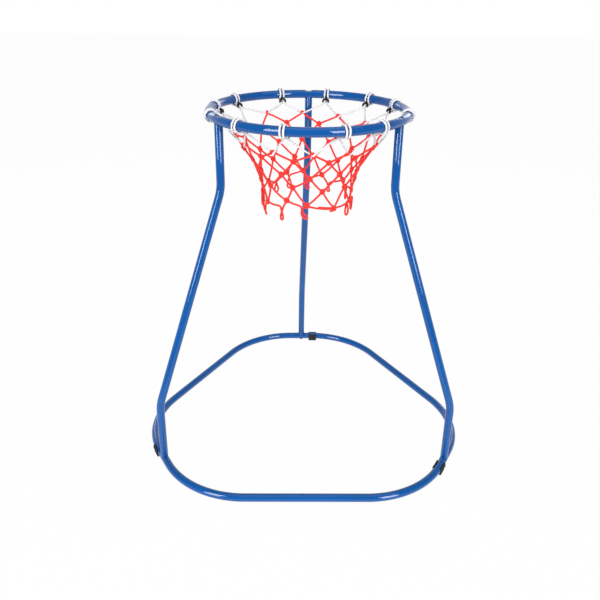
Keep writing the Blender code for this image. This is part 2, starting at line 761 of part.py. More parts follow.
def hook_mesh(finish):
    """The pin's barb holds behind the wall, its neck takes the cord, the horns keep it on."""
    bm = bmesh.new()
    out = Vector((cos(HOOK_PIN_ANGLE), 0, sin(HOOK_PIN_ANGLE)))
    side = Vector((0, 1, 0))
    up = out.cross(side)
    pin = HOOK_PIN_DIAMETER / 2
    barb = pin + HOOK_BARB
    bore_flat = RIM_BORE_RADIUS * cos(pi / BORE_SIDES)
    barb_seat = sqrt(bore_flat**2 - barb**2) - SEAT_GAP
    neck_end = RIM_TUBE_RADIUS + HOOK_NECK_LENGTH
    stem = [
        (barb_seat - HOOK_BARB_LENGTH, pin - HOOK_BARB),
        (barb_seat - SEAT_GAP, barb),
        (barb_seat, pin),
        (neck_end, pin),
    ]
    rings = [add_ring(bm, reach * out, side, up, radius, HORN_SIDES) for reach, radius in stem]
    skin(bm, rings)
    bm.faces.new(rings[0])
    neck = (neck_end + HOOK_HEAD) * out
    roots = []
    for hand in (-1, 1):
        tip = neck + Vector((-HOOK_LEAN, hand * HOOK_SPAN / 2, -HOOK_DROP))
        along = (tip - neck).normalized()
        across = Vector((0, hand * -along.z, hand * along.y)).normalized()
        wide = along.cross(across).normalized()
        horn = []
        for share, swell in HORN_STATIONS:
            ring = add_ring(
                bm,
                neck.lerp(tip, share),
                HORN_THICKNESS / 2 * swell * across,
                HORN_WIDTH / 2 * swell * wide,
                1.0,
                HORN_SIDES,
            )
            horn.append(ring)
        horn.append(add_ring(bm, tip, across, wide, HORN_TIP / 2, HORN_SIDES))
        skin(bm, horn)
        bm.faces.new(horn[-1])
        roots.append(horn[0])
    add_knot(bm, [rings[-1], *roots], [neck + HOOK_HEAD * out + HOOK_BARB * up])
    bmesh.ops.triangulate(bm, faces=[face for face in bm.faces if len(face.verts) > 4])
    return mesh_from(bm, "net_hook", finish)


# Net


def net_radius(drop):
    """Radius of the net this far below the rim's centreline: a funnel that turns into a tube."""
    share = 1 - min(drop / NET_LAST_KNOT_DROP, 1.0)
    return NET_MOUTH_RADIUS + (RIM_RADIUS - NET_MOUTH_RADIUS) * share**NET_FLARE


def rear_lift(azimuth, drop):
    """How much higher the net hangs towards the rear, in full from the hitches down."""
    return NET_REAR_LIFT * ((1 + sin(azimuth)) / 2) ** 2 * min(drop / NET_HITCH_DROP, 1.0)


def net_point(azimuth, drop, lift=0.0):
    """A point of the net, lifted outward off its surface."""
    step = MESH_CORD_RADIUS
    slope = (net_radius(drop + step) - net_radius(drop - step)) / (2 * step)
    steepness = hypot(1.0, slope)
    radius = net_radius(drop) + lift / steepness
    height = rear_lift(azimuth, drop) - drop + lift * slope / steepness
    return Vector((radius * cos(azimuth), radius * sin(azimuth), height))


def hitch_place(index):
    """Azimuth and drop at which the white cord and the red one hook together after a hook."""
    turn, drop = HITCH_SHIFTS.get(index % HOOK_COUNT, (0, 0.0))
    return even_azimuth(index + 0.5) + radians(turn), NET_HITCH_DROP + drop


def knot_place(row, index):
    """Azimuth and drop of a knot. Each row of knots is half a pitch on from the one above."""
    step = (NET_LAST_KNOT_DROP - NET_FIRST_KNOT_DROP) / (NET_KNOT_ROWS - 1)
    turn, drop = KNOT_SHIFTS.get((row, index % HOOK_COUNT), (0, 0.0))
    azimuth = even_azimuth(index + row / 2) + radians(turn)
    return azimuth, NET_FIRST_KNOT_DROP + step * row + drop


def wrap_point(azimuth, angle, aside):
    """A point of the white cord round the rim's tube, aside of a hook's azimuth."""
    radius = RIM_RADIUS + WRAP_RADIUS * cos(angle)
    turn = azimuth + aside / RIM_RADIUS
    return Vector((radius * cos(turn), radius * sin(turn), WRAP_RADIUS * sin(angle)))


def hook_notch():
    """Where both strands pass between a hook's horns, inward of and below the rim's tube."""
    reach = RIM_TUBE_RADIUS + HOOK_NECK_LENGTH + HOOK_HEAD
    neck = reach * Vector((cos(HOOK_PIN_ANGLE), 0, sin(HOOK_PIN_ANGLE)))
    return neck - Vector((HOOK_LEAN, 0, HOOK_DROP))


def wrap_side(index, hand):
    """One strand from a hook's notch, under the rim, up, over its top and down to the neck."""
    azimuth = hook_azimuths()[index]
    slide = BIGHT_SLIDES.get(index % HOOK_COUNT, 0.0)
    notch = hook_notch()
    radius = RIM_RADIUS + notch.x
    turn = azimuth + hand * (BIGHT_HALF_GAP - BIGHT_PINCH) / radius
    start = atan2(notch.z, notch.x) + acos(WRAP_RADIUS / notch.length)
    points = [Vector((radius * cos(turn), radius * sin(turn), notch.z))]
    for step in range(WRAP_STEPS + 1):
        share = step / WRAP_STEPS
        aside = BIGHT_HALF_GAP - BIGHT_PINCH * (1 - share) ** 6
        aside += (NECK_TURN_RADIUS - BIGHT_HALF_GAP) * share**4
        angle = start + (HOOK_PIN_ANGLE - start) * share
        points.append(wrap_point(azimuth, angle, hand * aside + slide * (1 - share**4)))
    return points


def hitch_corner(apex, before, after, outward, lift):
    """A cord's bend where the white and the red hook through each other.

    It comes from one point and goes on to another, rounded through the apex, and leans out of
    the net's surface by the lift, so that it passes over one arm of the other cord and under
    the other arm.
    """
    middle = (before + after) / 2
    away = (middle - apex).normalized()
    spread = (before - apex).normalized().dot(away)
    corner = apex - HITCH_CORNER * spread / 2 * away
    start = corner + HITCH_CORNER * (before - corner).normalized()
    end = corner + HITCH_CORNER * (after - corner).normalized()
    points = [start.lerp(before, LEAN_SHARE) + lift / 4 * outward]
    for share in (0.0, 0.25, 0.5, 0.75, 1.0):
        bend = start.lerp(corner, share).lerp(corner.lerp(end, share), share)
        points.append(bend + lift * cos(pi * share) * outward)
    points.append(end.lerp(after, LEAN_SHARE) - lift / 4 * outward)
    return points


def hitch_frame(index, lower):
    """A point of a hitch, a little lower or higher than its middle, and the way out there."""
    azimuth, drop = hitch_place(index)
    outward = net_point(azimuth, drop, 1.0) - net_point(azimuth, drop)
    return net_point(azimuth, drop + lower), outward


def white_cord_route():
    """One closed route: hitch, round the rim to a hook's neck, back round it, next hitch."""
    route = []
    for index, azimuth in enumerate(hook_azimuths()):
        apex, outward = hitch_frame(index - 1, HITCH_RADIUS / 2)
        before = wrap_side(index - 1, 1)[0]
        rising = wrap_side(index, -1)
        route += hitch_corner(apex, before, rising[0], outward, HITCH_LEAN)
        route += rising
        for step in range(1, NECK_STEPS):
            turn = pi * step / NECK_STEPS
            angle = HOOK_PIN_ANGLE + NECK_TURN_RADIUS * sin(turn) / WRAP_RADIUS
            route.append(wrap_point(azimuth, angle, -NECK_TURN_RADIUS * cos(turn)))
        route += reversed(wrap_side(index, 1))
    return route


def least_gap(points, radius):
    """The least gap between stretches of a closed cord that aren't neighbours along it."""
    count = len(points)
    reach = NEIGHBOUR_REACH * radius
    along = [0.0]
    for index in range(count):
        along.append(along[-1] + (points[(index + 1) % count] - points[index]).length)
    least = along[-1]
    for first in range(count):
        for second in range(first + 1, count):
            apart = along[second] - along[first]
            if min(apart, along[-1] - apart) > reach:
                least = min(least, (points[first] - points[second]).length - 2 * radius)
    return least


def white_cord_mesh(finish):
    bm = bmesh.new()
    route = white_cord_route()
    add_cord(bm, route, [TOP_CORD_RADIUS] * len(route), TOP_CORD_SIDES, closed=True)
    print(f"white cord's least gap to itself: {1000 * least_gap(route, TOP_CORD_RADIUS):.2f} mm")
    return mesh_from(bm, "net_top_cord", finish)


def between(first, second, share):
    """The azimuth and drop part of the way from one place on the net to another."""
    return tuple(a + (b - a) * share for a, b in zip(first, second))


def hanging_route(first, second, steps):
    """A cord between two places on the net, hanging a little slack."""
    points = []
    for step in range(steps + 1):
        azimuth, drop = between(first, second, step / steps)
        points.append(net_point(azimuth, drop + NET_SLACK * sin(pi * step / steps)))
    return points


def top_bight_route(index):
    """From a first-row knot up, over the white cord's bend and down to the next knot."""
    before = net_point(*knot_place(0, index))
    after = net_point(*knot_place(0, index + 1))
    apex, outward = hitch_frame(index, -HITCH_RADIUS / 2)
    return [before, *hitch_corner(apex, before, after, outward, -HITCH_LEAN), after]


def teardrop_route(index):
    """From a last-row knot down across itself, round a small hanging loop and up again."""
    last = NET_KNOT_ROWS - 1
    first, second = knot_place(last, index), knot_place(last, index + 1)
    turn, drop, lean, length = TEARDROPS.get(index, (0, 0.0, 0, TEARDROP_LENGTH))
    middle, crossing = between(first, second, 0.5)
    middle += TEARDROP_TURN + radians(turn)
    crossing += TEARDROP_CROSSING_DROP + drop
    loop = []
    for step in range(TEARDROP_STEPS + 1):
        angle = -TEARDROP_OVERLAP + (pi + 2 * TEARDROP_OVERLAP) * step / TEARDROP_STEPS
        across = TEARDROP_WIDTH / 2 * sin(2 * angle)
        down = length * sin(angle)
        tilt = radians(lean) * max(sin(angle), 0.0)
        aside = across * cos(tilt) + down * sin(tilt)
        lower = down * cos(tilt) - across * sin(tilt)
        lift = (MESH_CORD_RADIUS + CORD_GAP / 2) * cos(angle)
        loop.append((middle + aside / NET_MOUTH_RADIUS, crossing + lower, lift))
    points = [net_point(*first)]
    points.append(net_point(*between(first, loop[0][:2], 0.5), loop[0][2] / 2))
    points += [net_point(*place_and_lift) for place_and_lift in loop]
    points.append(net_point(*between(second, loop[-1][:2], 0.5), loop[-1][2] / 2))
    points.append(net_point(*second))
    return points


def add_bar(bm, route, swell=1.0):
    """Skins a cord between two knots, swollen by a share between, and returns its end rings."""
    while (route[1] - route[0]).length < KNOT_CLEARANCE:
        route.pop(1)
    while (route[-2] - route[-1]).length < KNOT_CLEARANCE:
        route.pop(-2)
    route[0] = route[0] + KNOT_REACH * (route[1] - route[0]).normalized()
    route[-1] = route[-1] + KNOT_REACH * (route[-2] - route[-1]).normalized()
    radii = [MESH_CORD_RADIUS] * len(route)
    radii[2:-2] = [swell * radius for radius in radii[2:-2]]
    radii[0] *= KNOT_SWELL
    radii[-1] *= KNOT_SWELL
    rings = add_cord(bm, route, radii, MESH_CORD_SIDES)
    return rings[0], rings[-1]


def red_mesh(finish):
    """The knotted mesh as one body: bars between rows of knots, bights above, loops below."""
    bm = bmesh.new()
    ends = {}

    def tie(row, index, ring):
        ends.setdefault((row, index % HOOK_COUNT), []).append(ring)

    last = NET_KNOT_ROWS - 1
    for index in range(HOOK_COUNT):
        first, second = add_bar(bm, top_bight_route(index))
        tie(0, index, first)
        tie(0, index + 1, second)
        for row in range(last):
            for below in (index - 1, index):
                bar = hanging_route(knot_place(row, index), knot_place(row + 1, below), BAR_STEPS)
                upper, lower = add_bar(bm, bar)
                tie(row, index, upper)
                tie(row + 1, below, lower)
        if index == FOLDED_TEARDROP:
            ends_of_fold = knot_place(last, index), knot_place(last, index + 1)
            first, second = add_bar(bm, hanging_route(*ends_of_fold, FOLD_STEPS), FOLD_SWELL)
        else:
            first, second = add_bar(bm, teardrop_route(index))
        tie(last, index, first)
        tie(last, index + 1, second)
    for (row, index), rings in ends.items():
        place_in_net = knot_place(row, index)
        crowns = [
            net_point(*place_in_net, lift) for lift in (-KNOT_HALF_THICKNESS, KNOT_HALF_THICKNESS)
        ]
        add_knot(bm, rings, crowns)
    return mesh_from(bm, "net_mesh", finish)


# Assembly


def main():
    clear_scene()
    blue = principled("blue_powder_coat", (0.003, 0.090, 0.376), 0.25)
    rubber = principled("black_rubber", (0.012, 0.012, 0.013), 0.75)
    hook_plastic = principled("black_plastic", (0.010, 0.010, 0.011), 0.40)
    plug_plastic = principled("grey_nylon", (0.25, 0.25, 0.24), 0.55)
    white = principled("white_cord", (0.86, 0.85, 0.84), 0.80)
    red = principled("red_cord", (0.90, 0.045, 0.030), 0.75)
    yellow_zinc = principled("yellow_zinc", (0.45, 0.30, 0.10), 0.35, metallic=1.0)
    zinc = principled("bright_zinc", (0.55, 0.56, 0.58), 0.35, metallic=1.0)

    axis = bpy.data.objects.new("hoop_axis", None)
    bpy.context.scene.collection.objects.link(axis)
    axis.location = (0, AXIS_Y, 0)

    make_rim(axis, blue)
    rim_bolt = rim_bolt_mesh(yellow_zinc)
    base_bolt = base_bolt_mesh(zinc)
    top_plug = plug_mesh(RIM_BOLT_DIAMETER, plug_plastic)
    bottom_plug = plug_mesh(BASE_BOLT_DIAMETER, plug_plastic)
    foot = foot_mesh(rubber)
    top_plug_height = RIM_HEIGHT - RIM_TUBE_RADIUS - PLUG_SETBACK - PLUG_LENGTH
    bottom_plug_height = BASE_HEIGHT + FRAME_RADIUS + PLUG_SETBACK
    for corner, azimuth in CORNERS.items():
        leg = leg_mesh(blue, corner)
        leg.transform(Matrix.Rotation(leg_set(corner)[1], 4, "Z"))
        place(f"leg_{corner}", leg, axis, azimuth, BASE_LEG_RADIUS, BASE_HEIGHT)
        place(f"rim_bolt_{corner}", rim_bolt, axis, leg_top(corner), RIM_RADIUS, RIM_HEIGHT)
        place(f"top_plug_{corner}", top_plug, axis, leg_top(corner), RIM_RADIUS, top_plug_height)
        place(f"base_bolt_{corner}", base_bolt, axis, azimuth, BASE_LEG_RADIUS, BASE_HEIGHT)
        place(
            f"bottom_plug_{corner}", bottom_plug, axis, azimuth, BASE_LEG_RADIUS, bottom_plug_height
        )
        place(f"foot_{corner}", foot, axis, azimuth - CORNERS["rear"], 0, BASE_HEIGHT)

    base_tube = base_tube_mesh(blue)
    holes = base_hole_tool(blue)
    sides = {"right": "rear", "front": "front_right", "left": "front_left"}
    for side, corner in sides.items():
        turn = CORNERS[corner] - CORNERS["rear"]
        tube = place(f"base_tube_{side}", base_tube, axis, turn, 0, BASE_HEIGHT)
        tool = place(f"base_holes_{side}", holes, axis, turn, 0, BASE_HEIGHT)
        hide_tool(tool)
        boolean(tube, tool, "DIFFERENCE")

    hook = hook_mesh(hook_plastic)
    for index, azimuth in enumerate(hook_azimuths()):
        place(f"net_hook_{index + 1:02d}", hook, axis, azimuth, RIM_RADIUS, RIM_HEIGHT)
    place("net_top_cord", white_cord_mesh(white), axis, height=RIM_HEIGHT)
    place("net_mesh", red_mesh(red), axis, height=RIM_HEIGHT)


main()
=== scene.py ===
import random
from math import acos, atan2, cos, hypot, pi, radians, sin

import bmesh
import bpy
from mathutils import Matrix, Vector


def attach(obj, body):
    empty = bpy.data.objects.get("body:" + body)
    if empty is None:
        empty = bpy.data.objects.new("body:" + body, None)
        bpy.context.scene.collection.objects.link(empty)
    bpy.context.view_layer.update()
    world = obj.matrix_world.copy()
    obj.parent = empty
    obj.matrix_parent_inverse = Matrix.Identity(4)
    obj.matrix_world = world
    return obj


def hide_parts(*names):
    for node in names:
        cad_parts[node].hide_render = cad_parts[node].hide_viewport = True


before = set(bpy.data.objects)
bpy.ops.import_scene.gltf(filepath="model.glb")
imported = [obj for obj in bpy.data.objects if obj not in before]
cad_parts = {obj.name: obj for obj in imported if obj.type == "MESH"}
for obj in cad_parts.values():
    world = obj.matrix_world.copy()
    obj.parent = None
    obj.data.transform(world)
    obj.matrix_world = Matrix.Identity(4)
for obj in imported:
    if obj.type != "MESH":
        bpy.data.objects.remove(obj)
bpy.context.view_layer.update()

# Rim
# The hoop itself: one steel tube bent into a ring, its end pushed into a swelled socket and
# powder coated blue. Over each leg its top is pressed down for a countersunk screw.

axis_y = -0.03604
rim_radius = 0.2395
rim_height = 0.889
rim_tube = 0.011
rim_joint_azimuth = radians(30)
rim_socket_length = 0.035
rim_socket_swell = 0.0006
rim_socket_lip = 0.0006
rim_socket_slope = 0.005
leg_azimuths = {"rear": radians(90), "front_left": radians(210), "front_right": radians(330)}
leg_turns = {"rear": radians(-1.5), "front_left": radians(0.7), "front_right": radians(-2.2)}
dimple_depth = 0.003
dimple_flare = 0.0045
dimple_over = 0.0012
screw_head = 0.0075
screw_head_gap = 0.0003
screw_seat = 0.0007
screw_hole_radius = 0.0032
screw_hole_depth = 0.005
# Metres within which a point counts as being at a place
near = 0.0001


def alone():
    """Leaves nothing selected, so that an operator acts on the next piece only."""
    bpy.ops.object.select_all(action="DESELECT")


def only(piece):
    """Selects one piece and makes it the active one."""
    alone()
    piece.select_set(True)
    bpy.context.view_layer.objects.active = piece


def named(name):
    """Names the piece that was just added."""
    piece = bpy.context.object
    piece.name = name
    piece.data.name = name
    return piece


def settle(piece):
    """Puts the piece's place, turn and size into its mesh."""
    only(piece)
    bpy.ops.object.transform_apply(location=True, rotation=True, scale=True)
    return piece


def edit(piece):
    """Opens the piece in edit mode with no point selected."""
    only(piece)
    bpy.ops.object.mode_set(mode="EDIT")
    bpy.ops.mesh.select_mode(type="VERT")
    bpy.ops.mesh.select_all(action="DESELECT")


def choose(test):
    """Selects the points of the edited mesh that pass a test of their place."""
    mesh = bmesh.from_edit_mesh(bpy.context.object.data)
    for point in mesh.verts:
        point.select_set(bool(test(point.co)))
    mesh.select_flush(True)
    bmesh.update_edit_mesh(bpy.context.object.data)


def done_editing():
    """Turns all faces outwards and leaves edit mode."""
    bpy.ops.mesh.select_all(action="SELECT")
    bpy.ops.mesh.normals_make_consistent(inside=False)
    bpy.ops.object.mode_set(mode="OBJECT")


def modify(piece, kind, **settings):
    """Adds a modifier and applies it at once."""
    only(piece)
    modifier = piece.modifiers.new(kind.lower(), kind)
    for key, value in settings.items():
        setattr(modifier, key, value)
    bpy.ops.object.modifier_apply(modifier=modifier.name)


def cut(piece, tool):
    """Cuts the tool's shape out of the piece and throws the tool away."""
    modify(piece, "BOOLEAN", operation="DIFFERENCE", solver="EXACT", object=tool)
    bpy.data.objects.remove(tool)


def smooth(piece, angle):
    """Shades the piece smooth, apart from edges that turn by more than this many degrees."""
    only(piece)
    bpy.ops.object.shade_smooth_by_angle(angle=radians(angle))


def soften(piece, width, segments, corner, angle=35):
    """Rounds the edges that turn by more than a corner, in degrees, and shades the piece."""
    limit = radians(corner)
    modify(piece, "BEVEL", width=width, segments=segments, limit_method="ANGLE", angle_limit=limit)
    smooth(piece, angle)


def coat(piece, material):
    """Gives the whole piece one material."""
    piece.data.materials.clear()
    piece.data.materials.append(material)


def place_at(radius, azimuth, height):
    """A place this far out from the hoop's upright axis."""
    return Vector((radius * cos(azimuth), axis_y + radius * sin(azimuth), height))


def ring(name, tube, segments, sides):
    """A ring of round tube on the rim's centreline."""
    alone()
    bpy.ops.mesh.primitive_torus_add(
        location=(0, axis_y, rim_height),
        major_radius=rim_radius,
        minor_radius=tube,
        major_segments=segments,
        minor_segments=sides,
    )
    return settle(named(name))


def rod(name, radius, length, place, turn=(0, 0, 0), sides=32):
    """A solid rod, round or with flats, about its middle."""
    alone()
    bpy.ops.mesh.primitive_cylinder_add(
        vertices=sides, radius=radius, depth=length, location=place, rotation=turn
    )
    return settle(named(name))


def cone(name, foot_radius, top_radius, height, place):
    """An upright cone without its tip, about its middle."""
    alone()
    bpy.ops.mesh.primitive_cone_add(
        vertices=48, radius1=foot_radius, radius2=top_radius, depth=height, location=place
    )
    return settle(named(name))


def wired(tree, node, **inputs):
    """Sets a node's inputs to plain values, or links them to other nodes' outputs."""
    for title, value in inputs.items():
        socket = node.inputs[title.replace("_", " ")]
        if isinstance(value, bpy.types.NodeSocket):
            tree.links.new(value, socket)
        else:
            socket.default_value = value
    return node


def add_node(tree, kind, **inputs):
    """A new node with its inputs set or linked."""
    return wired(tree, tree.nodes.new(kind), **inputs)


def node_group(name, inputs, outputs):
    """An empty shader group with named inputs, a vector where no value is given, and outputs."""
    group = bpy.data.node_groups.new(name, "ShaderNodeTree")
    for title, value in inputs:
        kind = "NodeSocketVector" if value is None else "NodeSocketFloat"
        socket = group.interface.new_socket(title, in_out="INPUT", socket_type=kind)
        if value is not None:
            socket.default_value = value
    for title in outputs:
        group.interface.new_socket(title, in_out="OUTPUT", socket_type="NodeSocketFloat")
    return group, group.nodes.new("NodeGroupInput"), group.nodes.new("NodeGroupOutput")


def maths(tree, operation, first, second=None):
    """A Math node whose inputs are sockets or plain numbers."""
    node = tree.nodes.new("ShaderNodeMath")
    node.operation = operation
    for socket, value in zip(node.inputs, (first, second)):
        if isinstance(value, (int, float)):
            socket.default_value = value
        elif value is not None:
            tree.links.new(value, socket)
    return node.outputs[0]


def make_grain():
    """Fine grain for any finish: a coarse cloudy mask and a fine bump height."""
    inputs = [("Vector", None), ("Cloud Scale", 20.0), ("Grain Scale", 600.0), ("Cloud Share", 0.5)]
    group, given, out = node_group("fine_grain", inputs, ["Mask", "Height"])
    place, cloud_scale, grain_scale, cloud_share = given.outputs[:4]
    noise = "ShaderNodeTexNoise"
    cloud = add_node(group, noise, Vector=place, Scale=cloud_scale, Detail=4.0).outputs[0]
    grain = add_node(group, noise, Vector=place, Scale=grain_scale, Detail=3.0).outputs[0]
    coarse = maths(group, "MULTIPLY", cloud, cloud_share)
    fine = maths(group, "MULTIPLY", grain, maths(group, "SUBTRACT", 1.0, cloud_share))
    wired(group, out, Mask=cloud, Height=maths(group, "ADD", coarse, fine))
    return group


fine_grain = make_grain()


def finish_of(name, roughness, metallic=0.0, **sockets):
    """A new material with its shader's plain numbers set on the shader's own sockets."""
    material = bpy.data.materials.new(name)
    material.use_nodes = True
    tree = material.node_tree
    shader = tree.nodes["Principled BSDF"]
    wired(tree, shader, Roughness=roughness, Metallic=metallic, **sockets)
    return material, tree, shader


def grain_in(tree, cloud_scale, grain_scale, cloud_share):
    """Places the grain group in a material, on the piece's own coordinates."""
    place = tree.nodes.new("ShaderNodeTexCoord").outputs["Object"]
    grain = tree.nodes.new("ShaderNodeGroup")
    grain.node_tree = fine_grain
    scales = {"Cloud_Scale": cloud_scale, "Grain_Scale": grain_scale}
    return wired(tree, grain, Vector=place, Cloud_Share=cloud_share, **scales)


def two_tone(tree, shader, mask, dark, light, low=0.35, high=0.65):
    """Runs the base colour from dark to light with a mask."""
    ramp = add_node(tree, "ShaderNodeValToRGB", Fac=mask)
    for stop, place, colour in zip(ramp.color_ramp.elements, (low, high), (dark, light)):
        stop.position = place
        stop.color = (*colour, 1)
    wired(tree, shader, Base_Color=ramp.outputs[0])


def vary_roughness(tree, shader, mask, low, high):
    """Runs the roughness from low to high with a mask."""
    node = add_node(tree, "ShaderNodeMapRange", Value=mask, From_Min=0.3, From_Max=0.7)
    wired(tree, node, To_Min=low, To_Max=high)
    wired(tree, shader, Roughness=node.outputs[0])


def bump(tree, shader, height, strength, distance):
    """Raises the surface by a height, this far in metres at most."""
    node = add_node(tree, "ShaderNodeBump", Height=height, Strength=strength, Distance=distance)
    wired(tree, shader, Normal=node.outputs[0])


def make_blue_coat():
    """Glossy blue powder coat: an almost even colour and a faint orange peel."""
    material, tree, shader = finish_of("blue_powder_coat", 0.06)
    grain = grain_in(tree, cloud_scale=9.0, grain_scale=420.0, cloud_share=0.1)
    mask = grain.outputs["Mask"]
    two_tone(tree, shader, mask, dark=(0.0, 0.069, 0.268), light=(0.0, 0.078, 0.300))
    vary_roughness(tree, shader, mask, low=0.05, high=0.07)
    bump(tree, shader, grain.outputs["Height"], strength=0.025, distance=0.0006)
    return material


blue_coat = make_blue_coat()
rim = ring("rim_ring", rim_tube, segments=240, sides=40)


def rim_turn(place):
    """How far clockwise of the tube's joint a place on the rim lies, in metres of tube."""
    azimuth = atan2(place.y - axis_y, place.x)
    return ((rim_joint_azimuth - azimuth) % (2 * pi)) * rim_radius


def joint_cut(turn):
    """Bisects the ring with the upright plane at this many metres past the joint."""
    azimuth = rim_joint_azimuth - turn / rim_radius
    side = Vector((cos(azimuth), sin(azimuth), 0))
    bpy.ops.mesh.select_all(action="DESELECT")
    mesh = bmesh.from_edit_mesh(bpy.context.object.data)
    for face in mesh.faces:
        if face.calc_center_median().dot(side) > 0:
            face.select_set(True)
    bmesh.update_edit_mesh(bpy.context.object.data)
    across = Vector((-sin(azimuth), cos(azimuth), 0))
    bpy.ops.mesh.bisect(plane_co=(0, axis_y, rim_height), plane_no=across)


edit(rim)
for turn in (0.0, rim_socket_lip, 2 * rim_socket_lip):
    joint_cut(turn)
for share in (0.0, 0.5, 1.0):
    joint_cut(rim_socket_length + share * rim_socket_slope)
slope_start = rim_socket_length + near
slope_end = rim_socket_length + rim_socket_slope - near
for start, share in ((rim_socket_lip, 0.6), (2 * rim_socket_lip, 0.4)):
    choose(lambda place: start - near < rim_turn(place) < slope_start)
    bpy.ops.transform.shrink_fatten(value=rim_socket_swell * share)
choose(lambda place: slope_start < rim_turn(place) < slope_end)
bpy.ops.transform.shrink_fatten(value=rim_socket_swell / 2)
done_editing()

for corner, azimuth in leg_azimuths.items():
    dimple_floor = rim_height + rim_tube - dimple_depth - screw_seat
    centre = place_at(rim_radius, azimuth + leg_turns[corner], dimple_floor)
    floor_radius = screw_head + screw_head_gap
    depth = dimple_depth + dimple_over
    middle = centre + Vector((0, 0, depth / 2))
    cut(rim, cone("dimple_tool", floor_radius, floor_radius + dimple_flare, depth, middle))
    cut(rim, rod("screw_hole_tool", screw_hole_radius, screw_hole_depth, centre))
soften(rim, width=0.0005, segments=3, corner=20, angle=40)
coat(rim, blue_coat)
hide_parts("rim")
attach(rim, "root")

# Legs
# Three steel tubes in the same blue coat, each bent twice so that the base stands wider than
# the hoop. Their ends are coped to sit on the base tube and under the rim.

tube_radius = 0.010
base_height = 0.0133
leg_foot = 0.429
leg_rise = rim_height - base_height
upper_bend_drop = 0.164
lower_bend_rise = 0.167
leg_bend_radius = 0.120
leg_bend_steps = 14
saddle_gap = 0.0006
cope_length = 0.08
up = Vector((0, 0, 1))


def tube_start(name, centre, direction, radius, sides=40):
    """A ring of points square to a direction, from which a tube is drawn."""
    alone()
    turn = direction.to_track_quat("Z", "Y").to_euler()
    bpy.ops.mesh.primitive_circle_add(
        vertices=sides, radius=radius, fill_type="NGON", location=centre, rotation=turn
    )
    tube = settle(named(name))
    edit(tube)
    bpy.ops.mesh.select_all(action="SELECT")
    return tube


def draw_out(way):
    """Draws the tube's open end straight on."""
    bpy.ops.mesh.extrude_region_move(TRANSFORM_OT_translate={"value": way})


def bend(centre, axis, angle, steps):
    """Bends the tube's open end round an axis, as on a bending former."""
    bpy.ops.mesh.spin(steps=steps, angle=-angle, center=centre, axis=axis)


def leg_of(name, azimuth, top):
    """One leg, bent in the upright plane through its two ends and coped at both."""
    foot = place_at(leg_foot, azimuth, base_height)
    below_rim = place_at(rim_radius, top, base_height)
    leg_offset = (foot - below_rim).length
    outward = (foot - below_rim) / leg_offset
    along = up.cross(outward)
    lean = atan2(leg_offset, leg_rise - upper_bend_drop - lower_bend_rise)
    setback = leg_bend_radius * (1 - cos(lean)) / sin(lean)
    low = foot + (lower_bend_rise - setback) * up
    high = foot - leg_offset * outward + (leg_rise - upper_bend_drop + setback) * up
    across_bend = leg_bend_radius * (cos(lean) * outward + sin(lean) * up)
    low_end = low - leg_bend_radius * outward + across_bend
    high_start = high + leg_bend_radius * outward - across_bend
    leg = tube_start(name, foot, up, tube_radius)
    draw_out(low - foot)
    bend(low - leg_bend_radius * outward, along, -lean, leg_bend_steps)
    draw_out(high_start - low_end)
    bend(high + leg_bend_radius * outward, along, lean, leg_bend_steps)
    draw_out(Vector((0, 0, base_height + leg_rise - high.z)))
    done_editing()
    cut(leg, ring("cope_tool", rim_tube + saddle_gap, segments=180, sides=48))
    lying = (pi / 2, 0, azimuth)
    cut(leg, rod("cope_tool", tube_radius + saddle_gap, cope_length, foot, lying, sides=64))
    return leg


for corner, azimuth in leg_azimuths.items():
    leg = leg_of(f"leg_tube_{corner}", azimuth, azimuth + leg_turns[corner])
    soften(leg, width=0.0003, segments=2, corner=50)
    coat(leg, blue_coat)
    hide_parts(f"leg_{corner}")
    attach(leg, "root")

# Base
# A loop of three bent tubes with round corners under the legs. Each tube's swaged end pushes
# into the next, so a fine groove shows beside each leg.

bend_centre = 0.193
bend_radius = 0.236
bend_steps = 40
half_corner = pi / 3
half_flat = 0.032
joint_offset = 0.020
joint_gap = 0.0003
straight = 2 * (bend_centre * sin(half_corner) - half_flat * cos(half_corner))


def about_axis(turn):
    """Turns a shape that was drawn round the origin, and moves it to the hoop's axis."""
    return Matrix.Translation((0, axis_y, 0)) @ Matrix.Rotation(turn, 4, "Z")


def base_tube_of(name, turn):
    """One third of the loop, from just past one leg to just past the next, clockwise."""
    start = Vector((joint_offset, leg_foot, base_height))
    tube = tube_start(name, start, Vector((1, 0, 0)), tube_radius)
    draw_out(Vector((half_flat - joint_offset, 0, 0)))
    bend(Vector((half_flat, bend_centre, base_height)), up, -half_corner, bend_steps)
    heading = Vector((cos(half_corner), -sin(half_corner), 0))
    draw_out(straight * heading)
    next_centre = Vector((half_flat, bend_centre, base_height)) + straight * heading
    bend(next_centre, up, -half_corner, bend_steps)
    heading = Vector((-cos(half_corner), -sin(half_corner), 0))
    draw_out((half_flat + joint_offset - joint_gap) * heading)
    done_editing()
    tube.data.transform(about_axis(turn))
    return tube


for side, turn in (("right", 0.0), ("front", -2 * pi / 3), ("left", 2 * pi / 3)):
    tube = base_tube_of(f"base_loop_{side}", turn)
    soften(tube, width=0.0006, segments=3, corner=50)
    coat(tube, blue_coat)
    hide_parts(f"base_tube_{side}")
    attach(tube, "root")

# Screws
# The rim is held by a brass-yellow countersunk socket screw over each leg, and the base by a
# zinc plated button head screw from below. Grey nylon plugs in the legs take their threads.

rim_screw_length = 0.042
rim_shank_radius = 0.004
base_screw_length = 0.044
base_shank_radius = 0.003
base_screw_seat = 0.003
button_radius = 0.006
button_height = 0.0022
button_step = 0.0001
button_edge = 0.0009
button_top_share = 0.66
socket_across = 0.004
socket_depth = 0.0015


